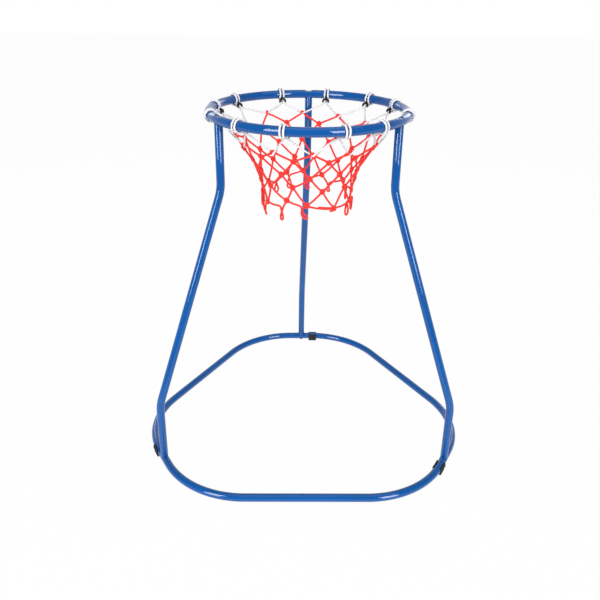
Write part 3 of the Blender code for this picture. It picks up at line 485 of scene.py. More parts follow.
def make_plating(name, dark, light):
    """Plated steel: cloudy passivation and fine turning marks."""
    material, tree, shader = finish_of(name, 0.35, metallic=1.0)
    grain = grain_in(tree, cloud_scale=260.0, grain_scale=2600.0, cloud_share=0.4)
    two_tone(tree, shader, grain.outputs["Mask"], dark, light)
    vary_roughness(tree, shader, grain.outputs["Mask"], low=0.28, high=0.46)
    bump(tree, shader, grain.outputs["Height"], strength=0.25, distance=0.0001)
    return material


platings = {
    "yellow_zinc": make_plating("yellow_zinc", (0.42, 0.25, 0.07), (0.62, 0.44, 0.17)),
    "bright_zinc": make_plating("bright_zinc", (0.42, 0.43, 0.45), (0.62, 0.63, 0.66)),
}


def hex_socket(screw, mouth, way):
    """Sinks a six-sided socket for a key into a screw's head."""
    turn = Vector(way).to_track_quat("Z", "Y").to_euler()
    key_radius = socket_across / 2 / cos(pi / 6)
    cut(screw, rod("socket_tool", key_radius, 2 * socket_depth, mouth, turn, sides=6))


def rim_screw(name, place):
    """A countersunk screw whose head's top lies at the bottom of the rim's dimple."""
    taper = screw_head - rim_shank_radius
    middle = place - Vector((0, 0, taper / 2))
    screw = cone(name, rim_shank_radius, screw_head, taper, middle)
    edit(screw)
    choose(lambda point: point.z < middle.z)
    draw_out((0, 0, taper - rim_screw_length))
    done_editing()
    hex_socket(screw, place, (0, 0, 1))
    return screw


def base_screw(name, seat):
    """A button head screw, its head down, with its shank up into the leg's plug."""
    middle = seat + Vector((0, 0, base_screw_length / 2))
    screw = rod(name, base_shank_radius, base_screw_length, middle, sides=48)
    edit(screw)
    choose(lambda point: point.z < middle.z)
    draw_out((0, 0, -button_step))
    widen = button_radius / base_shank_radius
    bpy.ops.transform.resize(value=(widen, widen, 1), center_override=seat)
    draw_out((0, 0, button_step - button_edge))
    draw_out((0, 0, button_edge - button_height))
    narrow = button_top_share
    bpy.ops.transform.resize(value=(narrow, narrow, 1), center_override=seat)
    done_editing()
    hex_socket(screw, seat - Vector((0, 0, button_height)), (0, 0, -1))
    return screw


for corner, azimuth in leg_azimuths.items():
    screw_top = rim_height + rim_tube - dimple_depth
    over_leg = place_at(rim_radius, azimuth + leg_turns[corner], screw_top)
    below_leg = place_at(leg_foot, azimuth, base_screw_seat)
    for screw, node, finish in (
        (rim_screw(f"rim_screw_{corner}", over_leg), "rim_bolt", "yellow_zinc"),
        (base_screw(f"base_screw_{corner}", below_leg), "base_bolt", "bright_zinc"),
    ):
        soften(screw, width=0.0003, segments=2, corner=30)
        coat(screw, platings[finish])
        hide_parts(f"{node}_{corner}")
        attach(screw, "root")


def make_nylon():
    """Grey nylon of the plugs inside the legs, faintly mottled."""
    material, tree, shader = finish_of("grey_nylon", 0.55)
    grain = grain_in(tree, cloud_scale=60.0, grain_scale=900.0, cloud_share=0.3)
    mask = grain.outputs["Mask"]
    two_tone(tree, shader, mask, dark=(0.21, 0.21, 0.20), light=(0.28, 0.28, 0.27))
    bump(tree, shader, grain.outputs["Height"], strength=0.2, distance=0.0002)
    return material


grey_nylon = make_nylon()
for corner in leg_azimuths:
    for end in ("top", "bottom"):
        coat(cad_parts[f"{end}_plug_{corner}"], grey_nylon)

# Feet
# Three black rubber channels clipped under the base beside the legs, with a flat sole and
# softly rounded edges.

foot_start = 0.026
foot_length = 0.027
foot_bend_steps = 8
foot_wall = 0.003
foot_gap = 0.0003
foot_bore = tube_radius + foot_gap
foot_sole_width = 0.022
foot_jaw = 0.03
foot_over = 0.004


def make_rubber():
    """Matt black rubber with a pebbled skin and a trace of dust."""
    material, tree, shader = finish_of("black_rubber", 0.7, Specular_IOR_Level=0.25)
    grain = grain_in(tree, cloud_scale=70.0, grain_scale=1500.0, cloud_share=0.25)
    mask = grain.outputs["Mask"]
    two_tone(tree, shader, mask, dark=(0.009, 0.009, 0.010), light=(0.022, 0.022, 0.023))
    vary_roughness(tree, shader, mask, low=0.6, high=0.8)
    bump(tree, shader, grain.outputs["Height"], strength=0.5, distance=0.0003)
    return material


def channel_bar(name, height, radius, sides=48, over=0.0, sole_width=0.0):
    """A bar beside the rear leg that follows the loop from its flat into the bend."""
    start = foot_start - over
    end = start + foot_length + 2 * over
    bar = tube_start(name, Vector((start, leg_foot, height)), Vector((1, 0, 0)), radius, sides)
    if sole_width:
        half_chord = radius * sin(pi / 4)
        choose(lambda point: point.z < height - half_chord + near)
        widen = sole_width / (2 * half_chord)
        bpy.ops.transform.resize(value=(1, widen, 0), center_override=(start, leg_foot, 0))
        bpy.ops.mesh.select_all(action="SELECT")
    draw_out(Vector((half_flat - start, 0, 0)))
    turn = (end - half_flat) / bend_radius
    bend(Vector((half_flat, bend_centre, height)), up, -turn, foot_bend_steps)
    done_editing()
    return bar


black_rubber = make_rubber()
for corner, azimuth in leg_azimuths.items():
    name = f"foot_channel_{corner}"
    foot = channel_bar(name, base_height, foot_bore + foot_wall, sole_width=foot_sole_width)
    cut(foot, channel_bar("bore_tool", base_height, foot_bore, over=foot_over))
    cut(foot, channel_bar("jaw_tool", base_height + foot_jaw, foot_jaw, sides=4, over=foot_over))
    foot.data.transform(about_axis(azimuth - pi / 2))
    soften(foot, width=0.0007, segments=3, corner=50)
    coat(foot, black_rubber)
    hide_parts(f"foot_{corner}")
    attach(foot, "root")

# Net hooks
# Twelve black moulded hooks snap into holes in the rim's inner wall. A short neck takes the
# cord, and two leaf-shaped horns that spread down and sideways keep it on.

hook_count = 12
hook_pitch = 2 * pi / hook_count
hooks_turned = radians(2.2)
# Degrees that a hook stands out of its even place
hook_turns = {0: 3, 1: -2, 2: -1, 4: 6, 7: 1.5, 8: -1.5, 9: -1, 10: -6}
pin_angle = radians(206)
pin_radius = 0.0025
pin_start = 0.0082
neck_end = rim_tube + 0.0055
pin_end = neck_end + 0.002
flange_radius = 0.0037
flange_depth = 0.0012
flange_middle = rim_tube + 0.0004
boss_radius = 0.0036
boss_middle = neck_end + 0.0027
horn_root = 0.0029
horn_start = neck_end + 0.0037
horn_span = 0.0172
horn_sweep = 0.9
horn_drop = 0.0105
horn_fall = 0.85
horn_lean = 0.0025
horn_half_depth = 0.0038
horn_half_width = 0.0036
horn_narrowing = 0.45


def even_azimuth(index):
    """Where a hook, or a place between two, would stand if all were evenly spaced."""
    return hook_pitch * (index + 0.5) + hooks_turned


hook_azimuths = [
    even_azimuth(index) + radians(hook_turns.get(index, 0)) for index in range(hook_count)
]


def added(name, data):
    """Adds an object with this mesh, lamp or camera to the scene."""
    thing = bpy.data.objects.new(name, data)
    bpy.context.scene.collection.objects.link(thing)
    return thing


def make_moulded_black():
    """Black moulded plastic, half gloss, with a fine spark-eroded texture."""
    material, tree, shader = finish_of("black_plastic", 0.4, Specular_IOR_Level=0.2)
    grain = grain_in(tree, cloud_scale=120.0, grain_scale=2400.0, cloud_share=0.3)
    mask = grain.outputs["Mask"]
    two_tone(tree, shader, mask, dark=(0.004, 0.004, 0.005), light=(0.009, 0.009, 0.010))
    vary_roughness(tree, shader, mask, low=0.32, high=0.48)
    bump(tree, shader, grain.outputs["Height"], strength=0.3, distance=0.0002)
    return material


def leaf_horn(neck, hand):
    """One horn: a stretched ball, bent sideways and down and drawn to a rounded point."""
    alone()
    bpy.ops.mesh.primitive_uv_sphere_add(segments=24, ring_count=24, radius=1)
    horn = named("horn")
    for point in horn.data.vertices:
        share = (point.co.z + 1) / 2
        turn = share * pi / 2
        side = sin(turn) ** horn_sweep * hand * horn_span / 2
        down = horn_drop * (1 - cos(turn)) ** horn_fall
        narrow = 1 - horn_narrowing * share**2
        across = Vector((0, hand * sin(turn), cos(turn)))
        place = neck + Vector((-horn_lean * share, side, -down))
        place += horn_half_depth * narrow * point.co.x * Vector((1, 0, 0))
        place += horn_half_width * narrow * point.co.y * across
        point.co = place
    return horn


def make_hook():
    """The pin, its neck and both horns, melted into one moulding."""
    out = Vector((cos(pin_angle), 0, sin(pin_angle)))
    turn = out.to_track_quat("Z", "Y").to_euler()
    pin_middle = (pin_end + pin_start) / 2
    pin = rod("pin", pin_radius, pin_end - pin_start, pin_middle * out, turn)
    flange = rod("flange", flange_radius, flange_depth, flange_middle * out, turn)
    alone()
    bpy.ops.mesh.primitive_uv_sphere_add(radius=boss_radius, location=boss_middle * out)
    boss = settle(named("boss"))
    horns = [leaf_horn(horn_start * out, hand) for hand in (-1, 1)]
    only(pin)
    for piece in (flange, boss, *horns):
        piece.select_set(True)
    bpy.ops.object.join()
    modify(pin, "REMESH", mode="VOXEL", voxel_size=0.00045)
    modify(pin, "SMOOTH", factor=0.5, iterations=4)
    modify(pin, "DECIMATE", ratio=0.5)
    smooth(pin, 60)
    return pin


moulded_black = make_moulded_black()
first_hook = make_hook()
for index, azimuth in enumerate(hook_azimuths):
    name = f"hook_{index + 1:02d}"
    mesh = first_hook.data.copy()
    mesh.name = name
    mesh.transform(about_axis(azimuth) @ Matrix.Translation((rim_radius, 0, rim_height)))
    hook = added(name, mesh)
    coat(hook, moulded_black)
    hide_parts(f"net_hook_{index + 1:02d}")
    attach(hook, "root")
bpy.data.objects.remove(first_hook)

# White cord
# One soft braided cord laid in bights over the rim. It goes round the neck of each hook and
# down to a bend between two hooks, where the red mesh hangs in it.

white_radius = 0.0023
white_spacing = 0.0011
red_radius = 0.0024
net_mouth = 0.113
net_flare = 1.78
net_first_drop = 0.085
net_last_drop = 0.207
rear_rise = 0.025
hitch_drop = 0.063
hitch_radius = white_radius + red_radius + 0.0005
loop_radius = 0.0046
loop_lift = 0.0029
loop_lift_rate = 1.1
loop_run_out = 0.25
loop_steps = 5
wrap_radius = 0.0142
wrap_steps = 16
neck_side = 0.0053
neck_steps = 4
half_gap = 0.0040
pinch = 0.0015
pinch_power = 6
slide_power = 4
# Metres that a bight has slid along the rim from its hook
bight_slides = {9: 0.008}
# Degrees and metres that a hitch hangs out of its even place
hitch_shifts = {1: (-1, 0.002), 2: (1, 0.0), 3: (1.5, -0.011), 8: (-1, 0.0), 9: (-1.5, 0.002)}


def net_radius(drop):
    """The net's radius this far below the rim's centreline, a funnel that turns into a tube."""
    share = 1 - min(drop / net_last_drop, 1.0)
    return net_mouth + (rim_radius - net_mouth) * share**net_flare


def rear_lift(azimuth, drop):
    """The real net hangs higher towards the rear."""
    return rear_rise * ((1 + sin(azimuth)) / 2) ** 2 * min(drop / hitch_drop, 1.0)


def net_point(azimuth, drop, lift=0.0):
    """A place on the net or lifted out of it, from the centre of the rim's ring."""
    step = red_radius
    slope = (net_radius(drop + step) - net_radius(drop - step)) / (2 * step)
    steepness = hypot(1.0, slope)
    radius = net_radius(drop) + lift / steepness
    height = rear_lift(azimuth, drop) - drop + lift * slope / steepness
    return Vector((radius * cos(azimuth), radius * sin(azimuth), height))


def wrap_point(azimuth, angle, aside):
    """A place round the rim's tube, some metres to the side of an azimuth."""
    radius = rim_radius + wrap_radius * cos(angle)
    turn = azimuth + aside / rim_radius
    return Vector((radius * cos(turn), radius * sin(turn), wrap_radius * sin(angle)))


def wrap_side(index, hand):
    """One strand from a hook's notch, under the rim, up, over its top and down to the neck."""
    azimuth = hook_azimuths[index]
    slide = bight_slides.get(index % hook_count, 0.0)
    notch = (neck_end + horn_root) * Vector((cos(pin_angle), sin(pin_angle)))
    notch -= Vector((horn_lean, horn_drop))
    radius = rim_radius + notch.x
    turn = azimuth + hand * (half_gap - pinch) / radius
    start = atan2(notch.y, notch.x) + acos(wrap_radius / notch.length)
    points = [Vector((radius * cos(turn), radius * sin(turn), notch.y))]
    for step in range(wrap_steps + 1):
        share = step / wrap_steps
        angle = start + (pin_angle - start) * share
        to_neck = share**slide_power
        aside = half_gap - pinch * (1 - share) ** pinch_power + (neck_side - half_gap) * to_neck
        points.append(wrap_point(azimuth, angle, hand * aside + slide * (1 - to_neck)))
    return points


def hitch_loop(apex, before, after, outward, hand, least_turn=0.0):
    """A cord's round bend where the white and the red hook through each other."""
    away = ((before + after) / 2 - apex).normalized()
    away = (away - away.dot(outward) * outward).normalized()
    centre = apex + loop_radius * away
    points = []
    for end, side in ((before, 1), (after, -1)):
        across = end - before.lerp(after, 0.5)
        across = (across - across.dot(away) * away).normalized()
        reach = Vector(((end - centre).dot(away), (end - centre).dot(across)))
        touch = atan2(reach.y, -reach.x) - acos(loop_radius / reach.length)
        touch = max(touch, least_turn)
        lift = hand * side * loop_lift * outward
        arc = []
        for step in range(1, loop_steps + 1):
            angle = touch * step / loop_steps
            place = centre - loop_radius * (cos(angle) * away - sin(angle) * across)
            arc.append(place + min(sin(angle) * loop_lift_rate, 1.0) * lift)
        arc.append(place.lerp(end, loop_run_out) + loop_run_out * lift)
        points += reversed(arc) if side == 1 else [apex, *arc]
    return points


def hitch_frame(index, lower):
    """A point of a hitch, a little lower or higher than its middle, and the way out there."""
    turn, drop = hitch_shifts.get(index % hook_count, (0, 0.0))
    azimuth = even_azimuth(index + 0.5) + radians(turn)
    drop += hitch_drop
    outward = net_point(azimuth, drop, 1.0) - net_point(azimuth, drop)
    return net_point(azimuth, drop + lower), outward


def white_route():
    """The whole cord: for each hook a hitch, one side of its bight, its neck, the other side."""
    route = []
    for index, azimuth in enumerate(hook_azimuths):
        apex, outward = hitch_frame(index - 1, hitch_radius / 2)
        before = wrap_side(index - 1, 1)[0]
        rising = wrap_side(index, -1)
        route += hitch_loop(apex, before, rising[0], outward, -1)
        route += rising
        for step in range(1, neck_steps):
            turn = pi * step / neck_steps
            angle = pin_angle + neck_side * sin(turn) / wrap_radius
            route.append(wrap_point(azimuth, angle, -neck_side * cos(turn)))
        route += reversed(wrap_side(index, 1))
    return route


def smooth_line(points, spacing, closed):
    """A smooth curve through the points, sampled at an even spacing, and its length."""
    least_span, least_step, fine_steps = 1e-6, 1e-9, 3
    count = len(points)
    fine = []
    for index in range(count if closed else count - 1):
        if closed:
            p0, p1, p2, p3 = (points[(index + k) % count] for k in (-1, 0, 1, 2))
        else:
            p1, p2 = points[index], points[index + 1]
            p0 = points[index - 1] if index else 2 * p1 - p2
            p3 = points[index + 2] if index + 2 < count else 2 * p2 - p1
        lengths = [(b - a).length for a, b in ((p0, p1), (p1, p2), (p2, p3))]
        spans = [max(length, least_span) ** 0.5 for length in lengths]
        first = (p1 - p0) / spans[0] - (p2 - p0) / (spans[0] + spans[1]) + (p2 - p1) / spans[1]
        last = (p2 - p1) / spans[1] - (p3 - p1) / (spans[1] + spans[2]) + (p3 - p2) / spans[2]
        m1, m2 = first * spans[1], last * spans[1]
        steps = max(2, round(lengths[1] / (spacing / fine_steps)))
        for step in range(steps):
            t = step / steps
            fine.append(
                (2 * t**3 - 3 * t**2 + 1) * p1
                + (t**3 - 2 * t**2 + t) * m1
                + (3 * t**2 - 2 * t**3) * p2
                + (t**3 - t**2) * m2
            )
    fine.append(points[0] if closed else points[-1])
    reach = [0.0]
    for a, b in zip(fine, fine[1:]):
        reach.append(reach[-1] + (b - a).length)
    amount = max(4, round(reach[-1] / spacing))
    line = []
    at = 0
    for step in range(amount if closed else amount + 1):
        target = reach[-1] * step / amount
        while at < len(fine) - 2 and reach[at + 1] < target:
            at += 1
        span = max(reach[at + 1] - reach[at], least_step)
        line.append(fine[at].lerp(fine[at + 1], (target - reach[at]) / span))
    return line, reach[-1]


def no_cords():
    """An empty collection of cords: points, faces and each face corner's place on its cord."""
    return {"points": [], "faces": [], "places": []}


def braid(cords, line, length, radius, closed, sides=12, plait=0.0052, relief=0.07):
    """Adds one cord to a collection, with a surface that is plaited of three strands."""
    strands = 3
    fine_relief = relief / 3
    count = len(line)
    spans = count if closed else count - 1
    plaits = max(1, round(length / plait))
    tangents = []
    for index in range(count):
        before = line[index - 1] if closed or index else line[0]
        after = line[(index + 1) % count] if closed or index < count - 1 else line[-1]
        tangents.append((after - before).normalized())
    first = tangents[0].orthogonal().normalized()
    across = first
    sideways = []
    for tangent in tangents:
        across = (across - across.dot(tangent) * tangent).normalized()
        sideways.append(across)
    lap = 0.0
    if closed:
        carried = (across - across.dot(tangents[0]) * tangents[0]).normalized()
        lap = atan2(carried.dot(tangents[0].cross(first)), carried.dot(first))
    base = len(cords["points"])
    for index in range(count):
        share = index / spans
        across = sideways[index]
        upward = tangents[index].cross(across)
        wave = relief * cos(2 * pi * plaits * share)
        for side in range(sides):
            around = 2 * pi * side / sides
            lump = 1 + wave * cos(strands * around) + fine_relief * cos(2 * strands * around)
            angle = around - lap * share
            way = cos(angle) * across + sin(angle) * upward
            cords["points"].append(line[index] + radius * lump * way)
    for index in range(spans):
        here = base + index * sides
        there = base + (index + 1) % count * sides
        low, high = length * index / spans, length * (index + 1) / spans
        for side in range(sides):
            after = (side + 1) % sides
            left, right = side / sides, (side + 1) / sides
            cords["faces"].append((here + side, here + after, there + after, there + side))
            cords["places"] += [(low, left), (low, right), (high, right), (high, left)]
    if not closed:
        for start, order in ((base, -1), (base + (count - 1) * sides, 1)):
            cords["faces"].append(tuple(range(start, start + sides))[::order])
            cords["places"] += [(0.0, 0.0)] * sides


def cord_piece(name, cords, material):
    """Makes a piece of the collected cords, with each point's place along and round its cord."""
    mesh = bpy.data.meshes.new(name)
    centre = Vector((0, axis_y, rim_height))
    mesh.from_pydata([point + centre for point in cords["points"]], [], cords["faces"])
    layer = mesh.uv_layers.new(name="cord")
    layer.data.foreach_set("uv", [value for place in cords["places"] for value in place])
    mesh.materials.append(material)
    mesh.shade_smooth()
    return added(name, mesh)


def make_plait():
    """Yarns of a braided cord that cross over and under: a height, and painted shade between them.
    """
    inputs = [("Vector", None), ("Yarns Along", 900.0), ("Yarns Round", 6.0)]
    group, given, out = node_group("plaited_yarn", inputs, ["Height", "Shade"])
    place, yarns_along, yarns_around = given.outputs[:3]
    split = add_node(group, "ShaderNodeSeparateXYZ", Vector=place)
    along = maths(group, "MULTIPLY", split.outputs[0], yarns_along)
    turns = maths(group, "MULTIPLY", yarns_around, 2 * pi)
    around = maths(group, "MULTIPLY", split.outputs[1], turns)
    one = maths(group, "SINE", maths(group, "ADD", along, around))
    other = maths(group, "SINE", maths(group, "SUBTRACT", along, around))
    crossing = maths(group, "MAXIMUM", one, other)
    height = maths(group, "ADD", maths(group, "MULTIPLY", crossing, 0.5), 0.5)
    # Shade is painted shade: the valleys between the yarns darker, their crowns lighter
    wired(group, out, Height=height, Shade=maths(group, "POWER", height, 0.6))
    return group


plaited_yarn = make_plait()
yarn_length = 0.0021
yarns_round = 4.0
# Share of the colour mask that is painted shade in the valleys between the yarns
yarn_shade_share = 0.7
cloud_contrast = 0.5


def make_cord_finish(name, dark, light):
    """Soft braided cord: painted shade in the valleys between yarns, cloudy colour and a fibrous
    surface.
    """
    material, tree, shader = finish_of(name, 0.85, Sheen_Weight=0.03, Sheen_Roughness=0.5)
    place = tree.nodes.new("ShaderNodeUVMap")
    place.uv_map = "cord"
    yarn = tree.nodes.new("ShaderNodeGroup")
    yarn.node_tree = plaited_yarn
    wired(tree, yarn, Vector=place.outputs[0], Yarns_Round=yarns_round)
    wired(tree, yarn, Yarns_Along=2 * pi / yarn_length)
    grain = grain_in(tree, cloud_scale=45.0, grain_scale=2600.0, cloud_share=0.2)
    # Painted shade darkens the yarns' valleys; the cloud adds random tone
    shade = maths(tree, "MULTIPLY", yarn.outputs["Shade"], yarn_shade_share)
    cloud = maths(tree, "MULTIPLY", grain.outputs["Mask"], cloud_contrast)
    mask = maths(tree, "ADD", shade, cloud)
    two_tone(tree, shader, mask, dark, light, low=0.25, high=0.85)
    vary_roughness(tree, shader, grain.outputs["Mask"], low=0.78, high=0.92)
    height = maths(tree, "ADD", yarn.outputs["Height"], grain.outputs["Height"])
    bump(tree, shader, height, strength=0.25, distance=0.0003)
    return material


white_cord = make_cord_finish("white_cord", dark=(0.66, 0.64, 0.69), light=(0.77, 0.76, 0.79))
white = no_cords()
white_line, white_length = smooth_line(white_route(), white_spacing, True)
braid(white, white_line, white_length, white_radius, True)
top_cord = cord_piece("top_cord", white, white_cord)
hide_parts("net_top_cord")
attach(top_cord, "root")

# Red net
# Red braided cord knotted by hand into four rows of diamonds. Its top bights hang in the white
# cord, and below the last knots it crosses itself and ends in small drop-shaped loops. One loop
# at the front lies folded flat, beside the cord's cut end.

last_row = 3
red_spacing = 0.0012
strand_steps = 4
strand_slack = 0.003
bight_turn = radians(125)
drop_loop_turn = radians(8)
drop_loop_drop = 0.019
drop_loop_length = 0.025
drop_loop_half_width = 0.00475
drop_loop_half_gap = 0.00235
drop_loop_overlap = 0.35
drop_loop_steps = 12
knot_turns = 2
knot_crossings = 5
knot_steps = 60
knot_reach = 0.0040
knot_swing = 0.0017
knot_height_share = 1.08
knot_half_depth = 0.0024
knot_cord_radius = 0.0022
knot_clearance = 0.0095
knot_seed = 12
# Row and number of a knot, and the degrees and metres that it hangs out of its even place
knot_shifts = {
    (0, 2): (1, 0.004),
    (0, 3): (2, 0.0),
    (0, 9): (-1, 0.003),
    (0, 10): (-6, 0.0),
    (1, 1): (2, 0.003),
    (1, 2): (3, 0.0),
    (1, 6): (-3, 0.0),
    (1, 8): (-1, 0.007),
    (1, 10): (0, 0.006),
    (2, 1): (3, 0.003),
    (2, 2): (-2, 0.002),
    (2, 3): (-1, -0.006),
    (2, 6): (-6, 0.0),
    (2, 7): (-5, -0.008),
    (2, 8): (-1, 0.003),
    (3, 0): (6, 0.007),
    (3, 1): (2, 0.0),
    (3, 2): (-5, -0.002),
    (3, 5): (-3, 0.008),
    (3, 6): (1, -0.011),
    (3, 7): (-4, -0.002),
    (3, 8): (2, 0.010),
    (3, 9): (5, 0.008),
}
# Number of a small loop, and its shift in degrees and metres, lean in degrees and length
drop_loops = {
    0: (0, 0.008, -10, 0.020),
    2: (-8, 0.005, 0, 0.020),
    4: (-4, 0.004, 35, 0.020),
    5: (2, -0.002, 0, 0.025),
    6: (-1, -0.004, 28, 0.025),
    8: (1, -0.010, 0, 0.023),
    11: (0, 0.008, 0, 0.018),
}
folded_loop = 7
# Share of the way between two last knots, sag and lift out of the net
folded_strands = [
    (0, 0.0, 0.0),
    (0.2, 0.0022, 0.0),
    (0.45, 0.0034, -0.0022),
    (0.7, 0.0040, -0.0044),
    (0.84, 0.0036, -0.0044),
    (0.89, 0.0028, -0.0022),
    (0.84, 0.0020, 0.0),
    (0.65, 0.0012, 0.0),
    (0.46, 0.0006, 0.0),
    (0.41, -0.0004, 0.0022),
    (0.46, -0.0012, 0.0044),
    (0.7, -0.0014, 0.0044),
    (0.88, -0.0008, 0.0026),
    (1, 0.0, 0.0),
]
cut_end = [
    (1, 0.0024, 0.002),
    (0.93, 0.0052, 0.0034),
    (0.87, 0.0062, 0.0040),
    (0.8, 0.0064, 0.0040),
]


def knot_place(row, index):
    """Azimuth and drop of a knot. Each row of knots is half a pitch on from the one above."""
    turn, drop = knot_shifts.get((row, index % hook_count), (0, 0.0))
    azimuth = even_azimuth(index + row / 2) + radians(turn)
    return azimuth, net_first_drop + (net_last_drop - net_first_drop) / last_row * row + drop


def between(first, second, share):
    """A place on the net this share of the way from one to another."""
    return tuple(a + (b - a) * share for a, b in zip(first, second))


def hanging(first, second):
    """A cord between two places on the net, hanging a little slack."""
    points = []
    for step in range(strand_steps + 1):
        azimuth, drop = between(first, second, step / strand_steps)
        points.append(net_point(azimuth, drop + strand_slack * sin(pi * step / strand_steps)))
    return points


def top_bight(index):
    """From a first-row knot up, over the white cord's bend and down to the next knot."""
    before = net_point(*knot_place(0, index))
    after = net_point(*knot_place(0, index + 1))
    apex, outward = hitch_frame(index, -hitch_radius / 2)
    return [before, *hitch_loop(apex, before, after, outward, 1, bight_turn), after]


def clear_of(point, *knots_near):
    """Whether a point lies outside the knots at a cord's ends."""
    return min((point - knot).length for knot in knots_near) > knot_clearance


def drop_loop(index):
    """From a last-row knot down across itself, round a small hanging loop and up again."""
    first, second = knot_place(last_row, index), knot_place(last_row, index + 1)
    turn, drop, lean, length = drop_loops.get(index, (0, 0.0, 0, drop_loop_length))
    middle, crossing = between(first, second, 0.5)
    middle += drop_loop_turn + radians(turn)
    crossing += drop_loop_drop + drop
    loop = []
    for step in range(drop_loop_steps + 1):
        angle = (pi + 2 * drop_loop_overlap) * step / drop_loop_steps - drop_loop_overlap
        across = drop_loop_half_width * sin(2 * angle)
        down = length * sin(angle)
        tilt = radians(lean) * max(sin(angle), 0.0)
        aside = across * cos(tilt) + down * sin(tilt)
        lower = down * cos(tilt) - across * sin(tilt)
        lift = drop_loop_half_gap * cos(angle)
        loop.append((middle + aside / net_mouth, crossing + lower, lift))
    points = [net_point(*first)]
    points.append(net_point(*between(first, loop[0][:2], 0.5), loop[0][2] / 2))
    points += [net_point(*place) for place in loop]
    points.append(net_point(*between(second, loop[-1][:2], 0.5), loop[-1][2] / 2))
    points.append(net_point(*second))
    inner = [point for point in points[1:-1] if clear_of(point, points[0], points[-1])]
    return [points[0], *inner, points[-1]]


def along_last_row(index, strands):
    """A cord between two last-row knots, by its share of the way, its sag and its lift."""
    ends = knot_place(last_row, index), knot_place(last_row, index + 1)
    points = []
    for share, sag, lift in strands:
        azimuth, drop = between(*ends, share)
        points.append(net_point(azimuth, drop + sag, lift))
    return points


def tied_knot(cords, place, turn):
    """A pulled-tight knot: the cord goes twice round, over and under itself five times."""
    centre = net_point(*place)
    out = (net_point(*place, 1.0) - centre).normalized()
    side = Vector((-sin(place[0]), cos(place[0]), 0))
    upward = knot_height_share * out.cross(side)
    route = []
    for step in range(knot_steps):
        angle = 2 * pi * knot_turns * step / knot_steps
        weave = knot_crossings / knot_turns * angle
        reach = knot_reach + knot_swing * cos(weave)
        flat = reach * (cos(angle + turn) * side + sin(angle + turn) * upward)
        route.append(centre + flat + knot_half_depth * sin(weave) * out)
    line, length = smooth_line(route, red_spacing, True)
    braid(cords, line, length, knot_cord_radius, True, sides=10)


red_cord = make_cord_finish("red_cord", dark=(0.62, 0.012, 0.010), light=(0.96, 0.034, 0.024))
red = no_cords()
knots = no_cords()
chance = random.Random(knot_seed)
for index in range(hook_count):
    routes = [top_bight(index)]
    for row in range(last_row):
        for below in (index - 1, index):
            routes.append(hanging(knot_place(row, index), knot_place(row + 1, below)))
    if index == folded_loop:
        routes += [along_last_row(index, strands) for strands in (folded_strands, cut_end)]
    else:
        routes.append(drop_loop(index))
    for route in routes:
        line, length = smooth_line(route, red_spacing, False)
        braid(red, line, length, red_radius, False)
    for row in range(last_row + 1):
        tied_knot(knots, knot_place(row, index), chance.uniform(0, 2 * pi))
mesh_cords = cord_piece("mesh_cords", red, red_cord)
mesh_knots = cord_piece("mesh_knots", knots, red_cord)
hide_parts("net_mesh")
for piece in (mesh_cords, mesh_knots):
    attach(piece, "root")

# Floor, light and camera
# A plain pale floor, a large soft light above, two tall ones in front and two small ones behind.
# Reflections show a room that is white behind the object and dark in front of it. The camera
# stands where the photograph was taken from.

floor_size = 14
floor_front = -1.1
floor_height = -0.0005
floor_whiteness = 0.97
room_slope = 0.6
room_dark_end = -0.3
room_white_end = 0.8


def show(tree, share, lit, white, out):
    """Puts out a mix of two shaders: this share of the white one."""
    mix = tree.nodes.new("ShaderNodeMixShader")
    for socket, source in zip(mix.inputs, (share, lit.outputs[0], white.outputs[0])):
        tree.links.new(source, socket)
    wired(tree, out, Surface=mix.outputs[0])


def make_floor_finish():
    """Pale matt floor that the camera sees nearly white, with the object's soft shadow."""
    material, tree, shader = finish_of("pale_floor", 0.8, Base_Color=(0.92, 0.92, 0.92, 1))
    white = add_node(tree, "ShaderNodeEmission", Color=(1, 1, 1, 1), Strength=1.0)
    rays = tree.nodes.new("ShaderNodeLightPath")
    seen = maths(tree, "MAXIMUM", rays.outputs["Is Camera Ray"], rays.outputs["Is Glossy Ray"])
    share = maths(tree, "MULTIPLY", seen, floor_whiteness)
    show(tree, share, shader, white, tree.nodes["Material Output"])
    return material


alone()
floor_middle = floor_front + floor_size / 2
bpy.ops.mesh.primitive_plane_add(size=floor_size, location=(0, floor_middle, floor_height))
floor = named("floor")
coat(floor, make_floor_finish())

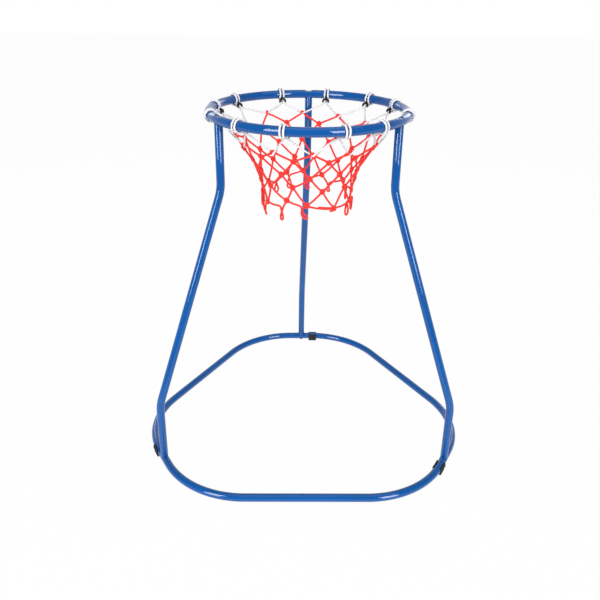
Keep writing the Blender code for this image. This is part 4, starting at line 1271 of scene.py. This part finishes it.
world = bpy.context.scene.world or bpy.data.worlds.new("studio")
bpy.context.scene.world = world
world.use_nodes = True
sky = world.node_tree
for node in list(sky.nodes):
    sky.nodes.remove(node)
ambient = add_node(sky, "ShaderNodeBackground", Color=(0.95, 0.97, 1.0, 1), Strength=0.26)
backdrop = add_node(sky, "ShaderNodeBackground", Color=(1, 1, 1, 1), Strength=1.0)
rays = sky.nodes.new("ShaderNodeLightPath")
way = sky.nodes.new("ShaderNodeTexCoord").outputs["Generated"]
split = add_node(sky, "ShaderNodeSeparateXYZ", Vector=way)
higher = maths(sky, "MULTIPLY", split.outputs[2], room_slope)
behind = maths(sky, "SUBTRACT", split.outputs[1], higher)
room = add_node(sky, "ShaderNodeMapRange", Value=behind)
room.interpolation_type = "SMOOTHSTEP"
wired(sky, room, From_Min=room_dark_end, From_Max=room_white_end)
seen = maths(sky, "MULTIPLY", rays.outputs["Is Glossy Ray"], room.outputs[0])
seen = maths(sky, "MAXIMUM", seen, rays.outputs["Is Camera Ray"])
seen = maths(sky, "MAXIMUM", seen, rays.outputs["Is Transmission Ray"])
show(sky, seen, ambient, backdrop, sky.nodes.new("ShaderNodeOutputWorld"))


def soft_light(name, place, aim, width, height, power):
    """A rectangular soft box that faces a point."""
    light = bpy.data.lights.new(name, "AREA")
    light.shape = "RECTANGLE"
    light.size = width
    light.size_y = height
    light.energy = power
    lamp = added(name, light)
    lamp.location = place
    lamp.rotation_euler = (Vector(aim) - Vector(place)).to_track_quat("-Z", "Y").to_euler()


hoop_middle = (0, -0.2, 0.7)
soft_light("top_soft_box", (0.2, -0.3, 2.9), (0, 0, 0.5), width=2.2, height=1.6, power=10)
soft_light("left_soft_box", (-2.68, -3.39, 1.97), hoop_middle, width=1.4, height=3.4, power=162)
soft_light("right_soft_box", (2.28, -3.71, 1.72), hoop_middle, width=1.4, height=3.1, power=150)
for side, hand in (("left", -1), ("right", 1)):
    place, aim = (1.7 * hand, 2.6, 1.9), (0.2 * hand, 0, 0.8)
    soft_light(f"rear_{side}_soft_box", place, aim, width=1.2, height=1.0, power=10)

camera_place = (-0.0441, -1.6395, 1.1927)
camera_turn = -0.01302
camera_tilt = radians(90 - 23.648)
camera_roll = 0.011626
camera = added("camera", bpy.data.cameras.new("camera"))
camera.data.sensor_width = 36
camera.data.lens = 39.36
camera.data.shift_x = 0.0048
camera.data.shift_y = -0.0651
camera.data.clip_start = 0.05
camera.data.clip_end = 30
aim = Matrix.Rotation(camera_turn, 4, "Z") @ Matrix.Rotation(camera_tilt, 4, "X")
roll = Matrix.Rotation(camera_roll, 4, "Z")
camera.matrix_world = Matrix.Translation(camera_place) @ aim @ roll
bpy.context.scene.camera = camera
bpy.context.scene.view_settings.view_transform = "Standard"
